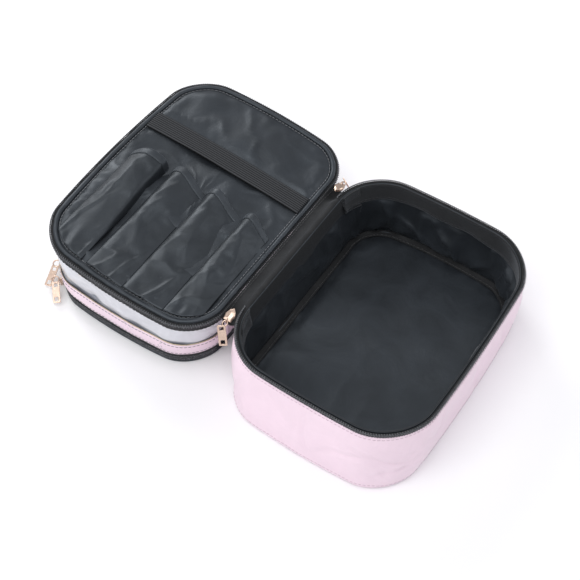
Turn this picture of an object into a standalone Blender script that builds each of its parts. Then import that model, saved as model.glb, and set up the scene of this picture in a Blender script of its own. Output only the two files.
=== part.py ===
"""Two-layer soft makeup train case, lying open: a lower case, an upper compartment with a
brush panel that turns over on the main hinge, and a clear lid on the compartment's own zipper.
Metres, +Z up. The origin is the centre of the lower case's base; the hinge line runs along X."""

import math

import bpy
from mathutils import Matrix, Vector

# Driving sizes of the lower case: outline at the rim and at the base.
RIM_LENGTH = 0.242
RIM_DEPTH = 0.188
RIM_RADIUS = 0.048
RIM_BOW = 0.004
BASE_LENGTH = RIM_LENGTH + 0.004
BASE_DEPTH = RIM_DEPTH - 0.012
BASE_RADIUS = 0.036
BASE_BOW = 0.0065
BASE_SHIFT_X = -0.006
BASE_SHIFT_Y = -0.003
LOWER_HEIGHT = 0.0765

# Driving sizes of the upper compartment: outline at its brush panel and at its lid.
PANEL_LENGTH = RIM_LENGTH + 0.0035
PANEL_DEPTH = RIM_DEPTH - 0.004
PANEL_RADIUS = 0.037
PANEL_BOW = 0.007
PANEL_TILT = math.radians(4.6)
LID_LENGTH = PANEL_LENGTH - 0.0045
LID_DEPTH = PANEL_DEPTH - 0.010
LID_BOW = 0.007
LID_LAG = 0.007
COMPARTMENT_SHIFT_X = 0.0045
COMPARTMENT_BACK_HEIGHT = 0.0665
HINGE_VALLEY = 0.0145

# Wall layers, from the outside in, and the gap that touching layers keep.
GAP = 0.0003
LEATHER = 0.0012
FOAM = 0.0020
LINING = 0.0006
RIM_BAND = 0.0006
BASE_BOARD = 0.0015
FLOOR_PAD = 0.0020
PIPING_R = 0.0013
RIM_BAND_DROP = 0.0190

# Zippers.
COIL_R = 0.0011
LID_COIL_R = 0.0009
TAPE = 0.0009
LOWER_TAPE_HEIGHT = 0.0025
UPPER_TAPE_HEIGHT = 0.0095
LID_SPLIT_Z = 0.0070
LID_COIL_OFFSET = 0.0013
LID_COIL_SKIP = 2
LID_TAPE_TOP_Z = 0.0130
LID_TAPE_BOTTOM_Z = 0.0029
CLOSED_ZIPPER_GAP = 0.0010

# Compartment walls, panel and lid.
CLEAR_PVC = 0.0006
PINK_BAND = 0.0010
PINK_BAND_TOP_Z = 0.0270
EDGE_TRIM_R = 0.0005
BACK_WALL = 0.0016
PANEL_INSET = 0.0072
PANEL_PAD = 0.0028
PANEL_RECESS = 0.0022
PANEL_BOARD = 0.0015
BINDING_R = 0.0014
BINDING_INSET = 0.0048
LID_BINDING_R = 0.00125
LID_FRAME = 0.0008
LID_FRAME_WIDTH = 0.0200
LID_INSET = 0.0031

# Brush pockets and elastic band on the panel.
POCKETS = 4
POCKET_SEWN_GAP = 0.0024
POCKET_MOUTH_X = 0.008
POCKET_LENGTH = 0.106
POCKET_MARGIN = 0.0110
POCKET_CLOTH = 0.0008
POCKET_HEIGHT = 0.0095
POCKET_END_HEIGHT = 0.0012
ELASTIC_WIDTH = 0.0200
ELASTIC_NEAR_X = 0.0425
ELASTIC_THICKNESS = 0.0010
ELASTIC_MARGIN = 0.0075

# Hinge cloth and tape ends.
HINGE_CLOTH = 0.0010
HINGE_HALF = 0.068
TAPE_END_DROP = 0.0230
TAPE_END_ANGLE = math.radians(26)

# Zipper sliders and pulls.
SLIDER_LENGTH = 0.0125
SLIDER_WIDTH = 0.0090
SLIDER_THICKNESS = 0.0034
MAIN_SLIDER_CLEAR = 0.0074
MAIN_SLIDER_ANGLE = math.radians(14)
MAIN_SLIDER_DROP = 0.0050
MAIN_SLIDER_TILT = math.radians(15)
LID_SLIDER_LENGTH = 0.0085
LID_SLIDER_WIDTH = 0.0060
LID_SLIDER_THICKNESS = 0.0028
LID_SLIDER_CLEAR = 0.0030
LID_SLIDER_ANGLES = {"a": math.radians(66), "b": math.radians(44)}
LID_SLIDER_ENDS = {"a": math.radians(88), "b": math.radians(5)}
LID_LINK_LIFT = 0.0030
LID_PULL_HEADINGS = {"a": math.radians(197), "b": math.radians(221.5)}
LID_PULL_SLOPE = math.radians(-13)
MAIN_SLIDER_END = math.radians(88)
MAIN_PULL_HANG = (0.26, -0.26, -0.93)
SHIELD = ((-1.0, -0.8), (-0.1, -1.0), (0.5, -0.7), (1.0, 0.0), (0.5, 0.7), (-0.1, 1.0), (-1.0, 0.8))
PULL_LENGTH = 0.0215
MAIN_PULL_WIDTH = 0.0075
LID_PULL_WIDTH = 0.0070
PULL_THICKNESS = 0.0010
PULL_FRAME = 0.0014
PULL_SLACK = 0.0005
SHORT_WINDOW = 0.30
LONG_WINDOW = 0.66
WIRE_R = 0.0006
LINK_R = 0.0030
BAIL_R = 0.0021

# How far each joint turns, in degrees, and the size its empty is drawn at.
LID_SWEEP = 110.0
MAIN_PULL_SWEEP = 75.0
LID_PULL_SWEEP = 95.0
PIVOT_SIZE = 0.010

CORNER_STEPS = 6
SIDE_STEPS = 4
RING_STEPS = 20
ARCH_STEPS = 8
POCKET_STATIONS = (0.0, 0.3, 0.6, 0.85, 1.0)

for old in list(bpy.data.objects):
    bpy.data.objects.remove(old, do_unlink=True)
parts = bpy.data.collections.new("makeup_train_case")
bpy.context.scene.collection.children.link(parts)


def material(name, colour, roughness, metallic=0.0, alpha=1.0):
    made = bpy.data.materials.new(name)
    made.use_nodes = True
    shader = made.node_tree.nodes["Principled BSDF"]
    shader.inputs["Base Color"].default_value = (*colour, 1.0)
    shader.inputs["Roughness"].default_value = roughness
    shader.inputs["Metallic"].default_value = metallic
    shader.inputs["Alpha"].default_value = alpha
    return made


pink_leather = material("pink_leather", (0.92, 0.76, 0.84), 0.42)
black_satin = material("black_satin", (0.035, 0.040, 0.046), 0.45)
black_tape = material("black_tape", (0.018, 0.019, 0.021), 0.75)
black_nylon = material("black_nylon", (0.022, 0.023, 0.026), 0.40)
grey_foam = material("grey_foam", (0.30, 0.30, 0.31), 0.95)
stiff_board = material("stiff_board", (0.10, 0.10, 0.10), 0.60)
clear_pvc = material("clear_pvc", (0.86, 0.86, 0.93), 0.08, alpha=0.35)
gold_edge = material("gold_edge", (0.72, 0.55, 0.40), 0.35, metallic=0.8)
champagne_metal = material("champagne_metal", (0.86, 0.70, 0.56), 0.25, metallic=1.0)


def outline(length, depth, radius, bow, shift=(0.0, 0.0), inset=0.0):
    """Rounded rectangle whose sides and front bow outwards and whose back is straight,
    counter-clockwise from the left end of the back."""
    a = length / 2 - inset
    b = depth / 2 - inset
    r = radius - inset
    quarter = math.pi / 2
    points = []
    corners = ((-1, 1, 1), (-1, -1, 2), (1, -1, 3), (1, 1, 4))
    for sx, sy, turn in corners:
        centre = Vector((sx * (a - r), sy * (b - r)))
        for i in range(CORNER_STEPS + 1):
            angle = quarter * (turn + i / CORNER_STEPS)
            points.append(centre + r * Vector((math.cos(angle), math.sin(angle))))
        nx, ny = corners[turn % 4][:2]
        towards = Vector((nx * (a - r), ny * (b - r))) + r * Vector(
            (math.cos(quarter * (turn + 1)), math.sin(quarter * (turn + 1)))
        )
        start = points[-1].copy()
        for i in range(1, SIDE_STEPS):
            points.append(start.lerp(towards, i / SIDE_STEPS))
    return [bowed(point, a, b, bow) + Vector(shift) for point in points]


def bowed(point, a, b, bow):
    """A point of the straight-sided outline, moved out with the bow of its sides and front."""
    x, y = point
    side = bow * max(0.0, 1 - (y / b) ** 2) * abs(x / a) ** 4
    front = bow * max(0.0, 1 - (x / a) ** 2) * abs(y / b) ** 4 if y < 0 else 0.0
    return Vector((x + math.copysign(side, x), y - front))


def corner_spot(length, depth, radius, bow, quarter, angle, clear):
    """A point outside one rounded corner, at this angle of its arc."""
    a, b = length / 2, depth / 2
    out = Vector((math.cos(angle), math.sin(angle)))
    centre = Vector((quarter[0] * (a - radius), quarter[1] * (b - radius)))
    return bowed(centre + radius * out, a, b, bow) + clear * out


def arc_centre(p, q, r):
    """The centre of the circle through three points."""
    ax, ay = q - p
    bx, by = r - p
    size = 2 * (ax * by - ay * bx)
    first, second = ax * ax + ay * ay, bx * bx + by * by
    return p + Vector(((by * first - ay * second) / size, (ax * second - bx * first) / size))


def three_sides(row, skip=0):
    """The part of a closed row from one end of its back to the other, round the front."""
    stop = len(row) - (SIDE_STEPS - 1)
    return row[skip : stop - skip]


def back_side(row, half):
    """The straight back of a row, cut off at half on each side of its middle."""
    left, right = row[0], row[len(row) - SIDE_STEPS]
    middle = (left + right) / 2
    along = (left - right).normalized()
    return [middle - along * half, middle + along * half]


def finish(obj, name, look):
    obj.name = name
    obj.data.name = name
    obj.data.materials.append(look)
    for owner in list(obj.users_collection):
        owner.objects.unlink(obj)
    parts.objects.link(obj)
    return obj


def sheet(name, rows, thickness, look, closed=True, outward=False):
    """A skin through rows of points, lowest first, thickened inwards or outwards."""
    count = len(rows[0])
    faces = []
    for level in range(len(rows) - 1):
        for i in range(count if closed else count - 1):
            j = (i + 1) % count
            low, high = level * count, (level + 1) * count
            faces.append((low + i, low + j, high + j, high + i))
    mesh = bpy.data.meshes.new(name)
    mesh.from_pydata([tuple(point) for row in rows for point in row], [], faces)
    mesh.shade_smooth()
    obj = bpy.data.objects.new(name, mesh)
    skin = obj.modifiers.new("thickness", "SOLIDIFY")
    skin.thickness = thickness
    skin.offset = 1.0 if outward else -1.0
    skin.use_even_offset = True
    return finish(obj, name, look)


def tube(name, points, radius, look, closed=False, resolution=1):
    curve = bpy.data.curves.new(name, "CURVE")
    curve.dimensions = "3D"
    curve.bevel_depth = radius
    curve.bevel_resolution = resolution
    curve.use_fill_caps = not closed
    spline = curve.splines.new("POLY")
    spline.points.add(len(points) - 1)
    for target, point in zip(spline.points, points):
        target.co = (*point, 1.0)
    spline.use_cyclic_u = closed
    return finish(bpy.data.objects.new(name, curve), name, look)


def plate(name, loops, thickness, look, place=Matrix()):
    """A flat piece: its outline, with any windows, as a filled curve around its middle plane."""
    curve = bpy.data.curves.new(name, "CURVE")
    curve.dimensions = "2D"
    curve.fill_mode = "BOTH"
    curve.extrude = thickness / 2
    for loop in loops:
        spline = curve.splines.new("POLY")
        spline.points.add(len(loop) - 1)
        for target, point in zip(spline.points, loop):
            target.co = (point[0], point[1], 0.0, 1.0)
        spline.use_cyclic_u = True
    obj = finish(bpy.data.objects.new(name, curve), name, look)
    obj.matrix_world = place
    return obj


# ---------------------------------------------------------------- lower case


def lower_row(z, inset=0.0):
    """The lower case's outline at height z, between its base and its rim."""
    part = z / LOWER_HEIGHT
    shift = (BASE_SHIFT_X, BASE_SHIFT_Y)
    low = outline(BASE_LENGTH, BASE_DEPTH, BASE_RADIUS, BASE_BOW, shift, inset)
    high = outline(RIM_LENGTH, RIM_DEPTH, RIM_RADIUS, RIM_BOW, inset=inset)
    return [(*p.lerp(q, part), z) for p, q in zip(low, high)]


def lower_rows(bottom, top, inset, levels=3):
    step = (top - bottom) / (levels - 1)
    return [[Vector(p) for p in lower_row(bottom + i * step, inset)] for i in range(levels)]


def floor_row(bottom, top, inset):
    """The outline that clears the leaning walls over a flat piece's thickness."""
    rows = lower_row(bottom, inset), lower_row(top, inset)
    middle = Vector((BASE_SHIFT_X, BASE_SHIFT_Y))
    kept = []
    for p, q in zip(*rows):
        kept.append([min(p[i], q[i], key=lambda v: abs(v - middle[i])) for i in (0, 1)])
    return kept


foam_inset = LEATHER + GAP
lining_inset = foam_inset + FOAM + GAP
band_inset = lining_inset + LINING + GAP
tab_inset = band_inset + RIM_BAND + GAP
wall_top = LOWER_HEIGHT - LOWER_TAPE_HEIGHT - COIL_R * 2
board_z = LEATHER + GAP
pad_z = board_z + BASE_BOARD + GAP
lean_x = ((BASE_LENGTH - RIM_LENGTH) / 2 + abs(BASE_SHIFT_X)) / LOWER_HEIGHT
lean_y = ((RIM_DEPTH - BASE_DEPTH) / 2 + abs(BASE_SHIFT_Y)) / LOWER_HEIGHT
foam_foot = pad_z + FOAM * (lean_x + lean_y)
lining_top = LOWER_HEIGHT - COIL_R * 2 - GAP


def make_lower_case():
    sheet("lower_wall", lower_rows(0.0, wall_top, 0.0), LEATHER, pink_leather)
    sheet("lower_foam", lower_rows(foam_foot, wall_top, foam_inset), FOAM, grey_foam)
    sheet("lower_lining", lower_rows(pad_z, lining_top, lining_inset), LINING, black_satin)
    base = floor_row(0.0, LEATHER, LEATHER + GAP)
    plate("lower_base", [base], LEATHER, pink_leather, Matrix.Translation((0, 0, LEATHER / 2)))
    board = floor_row(board_z, board_z + BASE_BOARD, LEATHER + GAP)
    place = Matrix.Translation((0, 0, board_z + BASE_BOARD / 2))
    plate("base_board", [board], BASE_BOARD, stiff_board, place)
    pad = floor_row(pad_z, pad_z + FLOOR_PAD, band_inset)
    place = Matrix.Translation((0, 0, pad_z + FLOOR_PAD / 2))
    plate("floor_pad", [pad], FLOOR_PAD, black_satin, place)
    piping_z = pad_z + FLOOR_PAD + GAP + PIPING_R
    rounded = floor_row(piping_z - PIPING_R, piping_z + PIPING_R, band_inset + PIPING_R)
    piping = [Vector((x, y, piping_z)) for x, y in rounded]
    tube("floor_piping", piping, PIPING_R, black_nylon, closed=True)
    tape = [three_sides(row) for row in lower_rows(wall_top + GAP, lining_top, GAP, 2)]
    sheet("lower_zipper_tape", tape, TAPE, black_tape, closed=False)
    coil = three_sides([Vector(p) for p in lower_row(LOWER_HEIGHT - COIL_R, COIL_R)])
    tube("lower_zipper_coil", coil, COIL_R, black_nylon)
    rows = lower_rows(LOWER_HEIGHT - RIM_BAND_DROP, lining_top, band_inset)
    band = [three_sides(row) for row in rows]
    sheet("lower_rim_band", band, RIM_BAND, black_tape, closed=False)
    make_tape_ends()


def make_tape_ends():
    """The folded ends of the main zipper's tape, inside the two corners by the hinge."""
    count = round(TAPE_END_ANGLE / (math.pi / 2) * CORNER_STEPS) + 1
    rows = lower_rows(LOWER_HEIGHT - TAPE_END_DROP, lining_top, tab_inset)
    cut = [three_sides(row) for row in rows]
    sheet("tape_end_left", [row[:count] for row in cut], TAPE, black_tape, closed=False)
    sheet("tape_end_right", [row[-count:] for row in cut], TAPE, black_tape, closed=False)


# ---------------------------------------------------------------- upper compartment

panel_y = RIM_DEPTH / 2 + HINGE_VALLEY
along = Vector((0, math.cos(PANEL_TILT), math.sin(PANEL_TILT)))
normal = Vector((0, -math.sin(PANEL_TILT), math.cos(PANEL_TILT)))
panel_corner = Vector((0, panel_y, COMPARTMENT_BACK_HEIGHT))
panel_frame = Matrix.Translation(panel_corner) @ Matrix.Rotation(PANEL_TILT, 4, "X")
lid_middle_y = panel_y + LID_LAG + LID_DEPTH / 2
lid_back_y = panel_y + LID_LAG


def panel_outline(inset=0.0):
    """The panel's outline in its own plane: x along the hinge, y away from it."""
    flat = outline(PANEL_LENGTH, PANEL_DEPTH, PANEL_RADIUS, PANEL_BOW, inset=inset)
    return [Vector((COMPARTMENT_SHIFT_X - p.x, PANEL_DEPTH / 2 - p.y)) for p in flat]


def lid_outline(inset=0.0):
    flat = outline(LID_LENGTH, LID_DEPTH, PANEL_RADIUS, LID_BOW, inset=inset)
    return [Vector((COMPARTMENT_SHIFT_X - p.x, lid_middle_y - p.y)) for p in flat]


def panel_row(inset, drop):
    """The compartment's wall at a depth under the panel's plane, in the world."""
    top = [panel_frame @ Vector((p.x, p.y, 0)) for p in panel_outline(inset)]
    low = [Vector((*p, 0)) for p in lid_outline(inset)]
    return [high + (foot - high) * (drop / (high.z - foot.z)) for high, foot in zip(top, low)]


def wall_row(inset, z):
    """The compartment's wall at height z."""
    top = [panel_frame @ Vector((p.x, p.y, 0)) for p in panel_outline(inset)]
    low = [Vector((*p, 0)) for p in lid_outline(inset)]
    return [foot.lerp(high, z / high.z) for high, foot in zip(top, low)]


def between(first, last, levels):
    return [
        [p.lerp(q, i / (levels - 1)) for p, q in zip(first, last)] for i in range(levels)
    ]


def on_panel(height):
    """A flat piece's place on the panel, with its middle plane at this height."""
    return panel_frame @ Matrix.Translation((0, 0, height))


tape_drop = COIL_R * 2 + GAP
clear_inset = PINK_BAND + GAP
clear_top_drop = UPPER_TAPE_HEIGHT + tape_drop + GAP
wall_foot_z = LID_TAPE_TOP_Z + GAP


def make_upper_compartment():
    rows = between(wall_row(0.0, wall_foot_z), wall_row(0.0, PINK_BAND_TOP_Z), 2)
    sheet("pink_band", [three_sides(r) for r in rows], PINK_BAND, pink_leather, closed=False)
    trim_z = PINK_BAND_TOP_Z + GAP + EDGE_TRIM_R
    trim = three_sides(wall_row(EDGE_TRIM_R, trim_z))
    tube("band_edge_trim", trim, EDGE_TRIM_R, gold_edge, resolution=0)
    rows = between(wall_row(clear_inset, wall_foot_z), panel_row(clear_inset, clear_top_drop), 3)
    sheet("clear_wall", [three_sides(r) for r in rows], CLEAR_PVC, clear_pvc, closed=False)
    back = [back_side(row, HINGE_HALF) for row in (rows[0], panel_row(clear_inset, tape_drop))]
    sheet("upper_back_wall", back, BACK_WALL, pink_leather, closed=False)
    rows = between(panel_row(GAP, UPPER_TAPE_HEIGHT + tape_drop), panel_row(GAP, tape_drop), 2)
    sheet("upper_zipper_tape", [three_sides(r) for r in rows], TAPE, black_tape, closed=False)
    tube("upper_zipper_coil", three_sides(panel_row(COIL_R, COIL_R)), COIL_R, black_nylon)
    binding = panel_row(BINDING_INSET, PANEL_RECESS - GAP)
    tube("panel_binding", binding, BINDING_R, black_tape, closed=True)
    pad_middle = -PANEL_RECESS - PANEL_PAD / 2
    plate("brush_panel", [panel_outline(PANEL_INSET)], PANEL_PAD, black_satin, on_panel(pad_middle))
    board_middle = -PANEL_RECESS - PANEL_PAD - GAP - PANEL_BOARD / 2
    loop = panel_outline(PANEL_INSET)
    plate("panel_board", [loop], PANEL_BOARD, stiff_board, on_panel(board_middle))
    make_elastic_band()
    make_pockets()


def make_elastic_band():
    near, far = ELASTIC_NEAR_X, ELASTIC_NEAR_X + ELASTIC_WIDTH
    low, high = ELASTIC_MARGIN + PANEL_INSET, PANEL_DEPTH - ELASTIC_MARGIN
    loop = [(near, low), (far, low), (far, high), (near, high)]
    place = on_panel(-PANEL_RECESS + GAP + ELASTIC_THICKNESS / 2)
    plate("elastic_band", [loop], ELASTIC_THICKNESS, black_tape, place)


def make_pockets():
    """Pleated sleeves side by side: each an arch on the panel, open at its mouth."""
    first = PANEL_INSET + POCKET_MARGIN
    pitch = (PANEL_DEPTH - POCKET_MARGIN - first) / POCKETS
    for number in range(POCKETS):
        near = first + number * pitch + POCKET_SEWN_GAP / 2
        far = near + pitch - POCKET_SEWN_GAP
        rows = []
        for part in POCKET_STATIONS:
            height = POCKET_HEIGHT + (POCKET_END_HEIGHT - POCKET_HEIGHT) * part**2
            x = POCKET_MOUTH_X - POCKET_LENGTH * part
            arch = []
            for i in range(ARCH_STEPS + 1):
                angle = math.pi * i / ARCH_STEPS
                y = (near + far) / 2 - (far - near) / 2 * math.cos(angle)
                z = -PANEL_RECESS + GAP + height * math.sin(angle)
                arch.append(panel_frame @ Vector((x, y, z)))
            rows.append(arch)
        sheet(f"brush_pocket_{number + 1}", rows, POCKET_CLOTH, black_satin, False, True)


# ---------------------------------------------------------------- lid

lid_tape_inset = clear_inset


def make_lid():
    high = wall_row(lid_tape_inset, LID_TAPE_TOP_Z)
    rows = between(wall_row(lid_tape_inset, LID_SPLIT_Z + GAP), high, 2)
    sheet("lid_tape_upper", [three_sides(r) for r in rows], TAPE, black_tape, closed=False)
    back = [back_side(r, HINGE_HALF) for r in rows]
    sheet("lid_hinge_upper", back, HINGE_CLOTH, black_tape, closed=False)
    low = wall_row(lid_tape_inset, LID_TAPE_BOTTOM_Z)
    rows = between(low, wall_row(lid_tape_inset, LID_SPLIT_Z - GAP), 2)
    sheet("lid_tape_lower", [three_sides(r) for r in rows], TAPE, black_tape, closed=False)
    back = [back_side(r, HINGE_HALF) for r in rows]
    sheet("lid_hinge_lower", back, HINGE_CLOTH, black_tape, closed=False)
    coil_inset = lid_tape_inset - LID_COIL_R - GAP / 2
    for name, side in (("upper", 1), ("lower", -1)):
        row = wall_row(coil_inset, LID_SPLIT_Z + side * LID_COIL_OFFSET)
        tube(f"lid_coil_{name}", three_sides(row, LID_COIL_SKIP), LID_COIL_R, black_nylon)
    binding = wall_row(lid_tape_inset, LID_BINDING_R)
    tube("lid_binding", binding, LID_BINDING_R, black_tape, closed=True)
    frame_loops = [lid_outline(LID_INSET), lid_outline(LID_INSET + LID_FRAME_WIDTH)]
    place = Matrix.Translation((0, 0, LID_FRAME / 2))
    plate("lid_frame", frame_loops, LID_FRAME, pink_leather, place)
    window_z = LID_FRAME + GAP + CLEAR_PVC / 2
    place = Matrix.Translation((0, 0, window_z))
    plate("lid_window", [lid_outline(LID_INSET)], CLEAR_PVC, clear_pvc, place)


# ---------------------------------------------------------------- hinge cloth


def main_hinge_axis():
    """The point (y, z) about which the panel turns over onto the lower rim: the panel's
    middle comes over the rim's middle, and the two zippers meet with their closed gap."""
    middle = panel_corner + along * (PANEL_DEPTH / 2)
    c, s = math.cos(PANEL_TILT), math.sin(PANEL_TILT)
    first = middle.y * c + middle.z * s
    second = -middle.y * s + middle.z * c + LOWER_HEIGHT + CLOSED_ZIPPER_GAP
    size = (1 + c) ** 2 + s**2
    return ((1 + c) * first - s * second) / size, (s * first + (1 + c) * second) / size


hinge_y, hinge_z = main_hinge_axis()


def make_hinge_cloth():
    axis = Vector((0, hinge_y, hinge_z))
    rim = Vector((0, RIM_DEPTH / 2 + GAP, lining_top))
    edge = panel_corner + Vector((0, -GAP, 0))
    for name, end in (("lower", rim), ("upper", edge)):
        run = (end - axis).normalized()
        below = Vector((0, -abs(run.z), -abs(run.y)))
        near = axis + run * GAP + below * GAP
        far = end + below * GAP
        rows = [[p + Vector((x, 0, 0)) for x in (-HINGE_HALF, HINGE_HALF)] for p in (near, far)]
        if name == "lower":
            rows.reverse()
        sheet(f"hinge_cloth_{name}", rows, HINGE_CLOTH, black_tape, closed=False)


# ---------------------------------------------------------------- sliders and pulls


def shield(length, width):
    """A slider's face: square at its mouth (-x) and pointed at its tip (+x)."""
    return [(x * length / 2, y * width / 2) for x, y in SHIELD]


def window(x0, x1, half):
    return [(x0, -half), (x1, -half), (x1, half), (x0, half)]


def ring_points(radius, place):
    steps = [2 * math.pi * i / RING_STEPS for i in range(RING_STEPS)]
    return [place @ Vector((radius * math.cos(t), radius * math.sin(t), 0)) for t in steps]


def frame_at(origin, x_axis, z_axis):
    """A placement with its x along x_axis and its z as near z_axis as that allows."""
    x = x_axis.normalized()
    y = z_axis.cross(x).normalized()
    z = x.cross(y)
    rotation = Matrix((x, y, z)).transposed().to_4x4()
    return Matrix.Translation(origin) @ rotation


def pull_tab(name, top, direction, face, width):
    """A rectangular pull with two windows, hanging from its top along direction."""
    half = width / 2
    inner = half - PULL_FRAME
    loops = [
        window(0.0, PULL_LENGTH, half),
        window(PULL_FRAME, PULL_LENGTH * SHORT_WINDOW, inner),
        window(PULL_LENGTH * LONG_WINDOW, PULL_LENGTH - PULL_FRAME, inner),
    ]
    plate(name, loops, PULL_THICKNESS, champagne_metal, frame_at(top, direction, face))


def run_arc(track, z):
    """The centre, axis and sweep of a slider's run through three points of its track."""
    centre = arc_centre(*track)
    start, end = track[0] - centre, track[2] - centre
    turn = start.x * end.y - start.y * end.x
    return Vector((*centre, z)), Vector((0, 0, math.copysign(1, turn))), math.degrees(start.angle(end))


main_slider_z = LOWER_HEIGHT - MAIN_SLIDER_DROP


def make_main_slider(side, sign):
    """A main slider parked in the valley at one end of the hinge, its pull hanging outside."""
    rests = [MAIN_SLIDER_ANGLE, (MAIN_SLIDER_ANGLE + MAIN_SLIDER_END) / 2, MAIN_SLIDER_END]
    rim = (RIM_LENGTH, RIM_DEPTH, RIM_RADIUS, RIM_BOW, (sign, 1))
    track = [corner_spot(*rim, math.pi / 2 - sign * turn, MAIN_SLIDER_CLEAR) for turn in rests]
    spot = Vector((*track[0], main_slider_z))
    inwards = Vector((-sign * math.cos(MAIN_SLIDER_TILT), 0, math.sin(MAIN_SLIDER_TILT)))
    up = Vector((sign * math.sin(MAIN_SLIDER_TILT), 0, math.cos(MAIN_SLIDER_TILT)))
    place = frame_at(spot, inwards, up)
    face = shield(SLIDER_LENGTH, SLIDER_WIDTH)
    plate(f"main_slider_{side}", [face], SLIDER_THICKNESS, champagne_metal, place)
    loop_centre = place @ Vector((-SLIDER_LENGTH / 2 - BAIL_R - WIRE_R - GAP, 0, 0))
    bail = ring_points(BAIL_R, frame_at(loop_centre, inwards, up))
    tube(f"main_bail_{side}", bail, WIRE_R, champagne_metal, closed=True)
    out, back, down = MAIN_PULL_HANG
    hang = Vector((sign * out, back, down)).normalized()
    outward = (loop_centre - spot).normalized()
    top = loop_centre + outward * (BAIL_R + WIRE_R + GAP + PULL_THICKNESS)
    pull_tab(f"main_pull_{side}", top, hang, Vector((sign, 1, 0)), MAIN_PULL_WIDTH)
    pieces = (f"main_slider_{side}", f"main_bail_{side}")
    run = pivot(f"main_slider_{side}_run", *run_arc(track, main_slider_z), pieces)
    axis = hang.cross(Vector((sign, 0, 0)))
    pivot(f"main_pull_{side}_swing", top, axis, MAIN_PULL_SWEEP, [f"main_pull_{side}"], run)


def make_lid_slider(letter, carrier):
    """A slider of the lid's zipper at its outer left corner, with a link and a pull."""
    start, end = LID_SLIDER_ANGLES[letter], LID_SLIDER_ENDS[letter]
    middle = Vector((COMPARTMENT_SHIFT_X, lid_middle_y))
    lid = (LID_LENGTH, LID_DEPTH, PANEL_RADIUS, LID_BOW, (1, -1))
    rests = [start, (start + end) / 2, end]
    track = [middle - corner_spot(*lid, -turn, LID_SLIDER_CLEAR) for turn in rests]
    out = Vector((-math.cos(start), math.sin(start), 0))
    tangent = Vector((math.sin(start), math.cos(start), 0))
    spot = Vector((*track[0], LID_SPLIT_Z))
    place = frame_at(spot, tangent, out)
    face = shield(LID_SLIDER_LENGTH, LID_SLIDER_WIDTH)
    plate(f"lid_slider_{letter}", [face], LID_SLIDER_THICKNESS, champagne_metal, place)
    clear = LID_SLIDER_THICKNESS / 2 + GAP + WIRE_R + LINK_R
    ring = spot + out * clear + Vector((0, 0, LID_LINK_LIFT))
    heading = LID_PULL_HEADINGS[letter]
    flat = math.cos(LID_PULL_SLOPE)
    lean = Vector((flat * math.cos(heading), flat * math.sin(heading), math.sin(LID_PULL_SLOPE)))
    link = ring_points(LINK_R, frame_at(ring, lean, Vector((0, 0, 1))))
    tube(f"lid_link_{letter}", link, WIRE_R, champagne_metal, closed=True)
    top = ring + lean * (LINK_R + WIRE_R + PULL_SLACK)
    pull_tab(f"lid_pull_{letter}", top, lean, Vector((0, 0, 1)), LID_PULL_WIDTH)
    arc = run_arc(track, LID_SPLIT_Z)
    run = pivot(f"lid_slider_{letter}_run", *arc, [f"lid_slider_{letter}"], carrier)
    pieces = (f"lid_link_{letter}", f"lid_pull_{letter}")
    axis = lean.cross(Vector((0, 0, 1)))
    pivot(f"lid_pull_{letter}_swing", ring - lean * LINK_R, axis, LID_PULL_SWEEP, pieces, run)


# ---------------------------------------------------------------- joints


def pivot(name, place, axis, sweep, pieces, carrier=None):
    """An empty on a joint's axis, its Z along it, that carries the pieces which turn there."""
    empty = bpy.data.objects.new(name, None)
    empty.empty_display_size = PIVOT_SIZE
    empty.matrix_basis = Matrix.Translation(place) @ axis.to_track_quat("Z", "Y").to_matrix().to_4x4()
    empty["sweep_degrees"] = sweep
    parts.objects.link(empty)
    if carrier:
        carry(carrier, empty)
    for piece in pieces:
        carry(empty, parts.objects[piece])
    return empty


def carry(empty, piece):
    """Parents a piece to an empty without moving it."""
    piece.parent = empty
    piece.matrix_parent_inverse = empty.matrix_basis.inverted()


make_lower_case()
lower_pieces = set(parts.objects.keys())
make_upper_compartment()
upper_pieces = sorted(set(parts.objects.keys()) - lower_pieces)
make_lid()
make_hinge_cloth()
lid_pieces = ["lid_tape_lower", "lid_coil_lower", "lid_binding", "lid_frame", "lid_window", "lid_hinge_lower"]
upper_pieces += ["lid_tape_upper", "lid_coil_upper", "lid_hinge_upper", "hinge_cloth_upper"]
main_sweep = 180 - math.degrees(PANEL_TILT)
hinge_place = Vector((0, hinge_y, hinge_z))
main_hinge = pivot("main_hinge", hinge_place, Vector((1, 0, 0)), main_sweep, upper_pieces)
lid_back = back_side(wall_row(lid_tape_inset, LID_SPLIT_Z), HINGE_HALF)[0]
lid_hinge_place = Vector((0, lid_back.y - GAP, LID_SPLIT_Z))
pivot("lid_hinge", lid_hinge_place, Vector((-1, 0, 0)), LID_SWEEP, lid_pieces, main_hinge)
for side, sign in (("left", -1), ("right", 1)):
    make_main_slider(side, sign)
for letter in LID_SLIDER_ANGLES:
    make_lid_slider(letter, main_hinge)
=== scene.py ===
"""Soft two-layer makeup train case, lying open.

A pink lower case stands at the front. Its upper compartment has turned over backwards on the main
hinge, so that the brush panel faces up and its clear lid lies on the table. Every length is in
metres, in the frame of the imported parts: +Z up, X along the hinge, +Y towards the compartment.
"""

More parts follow.
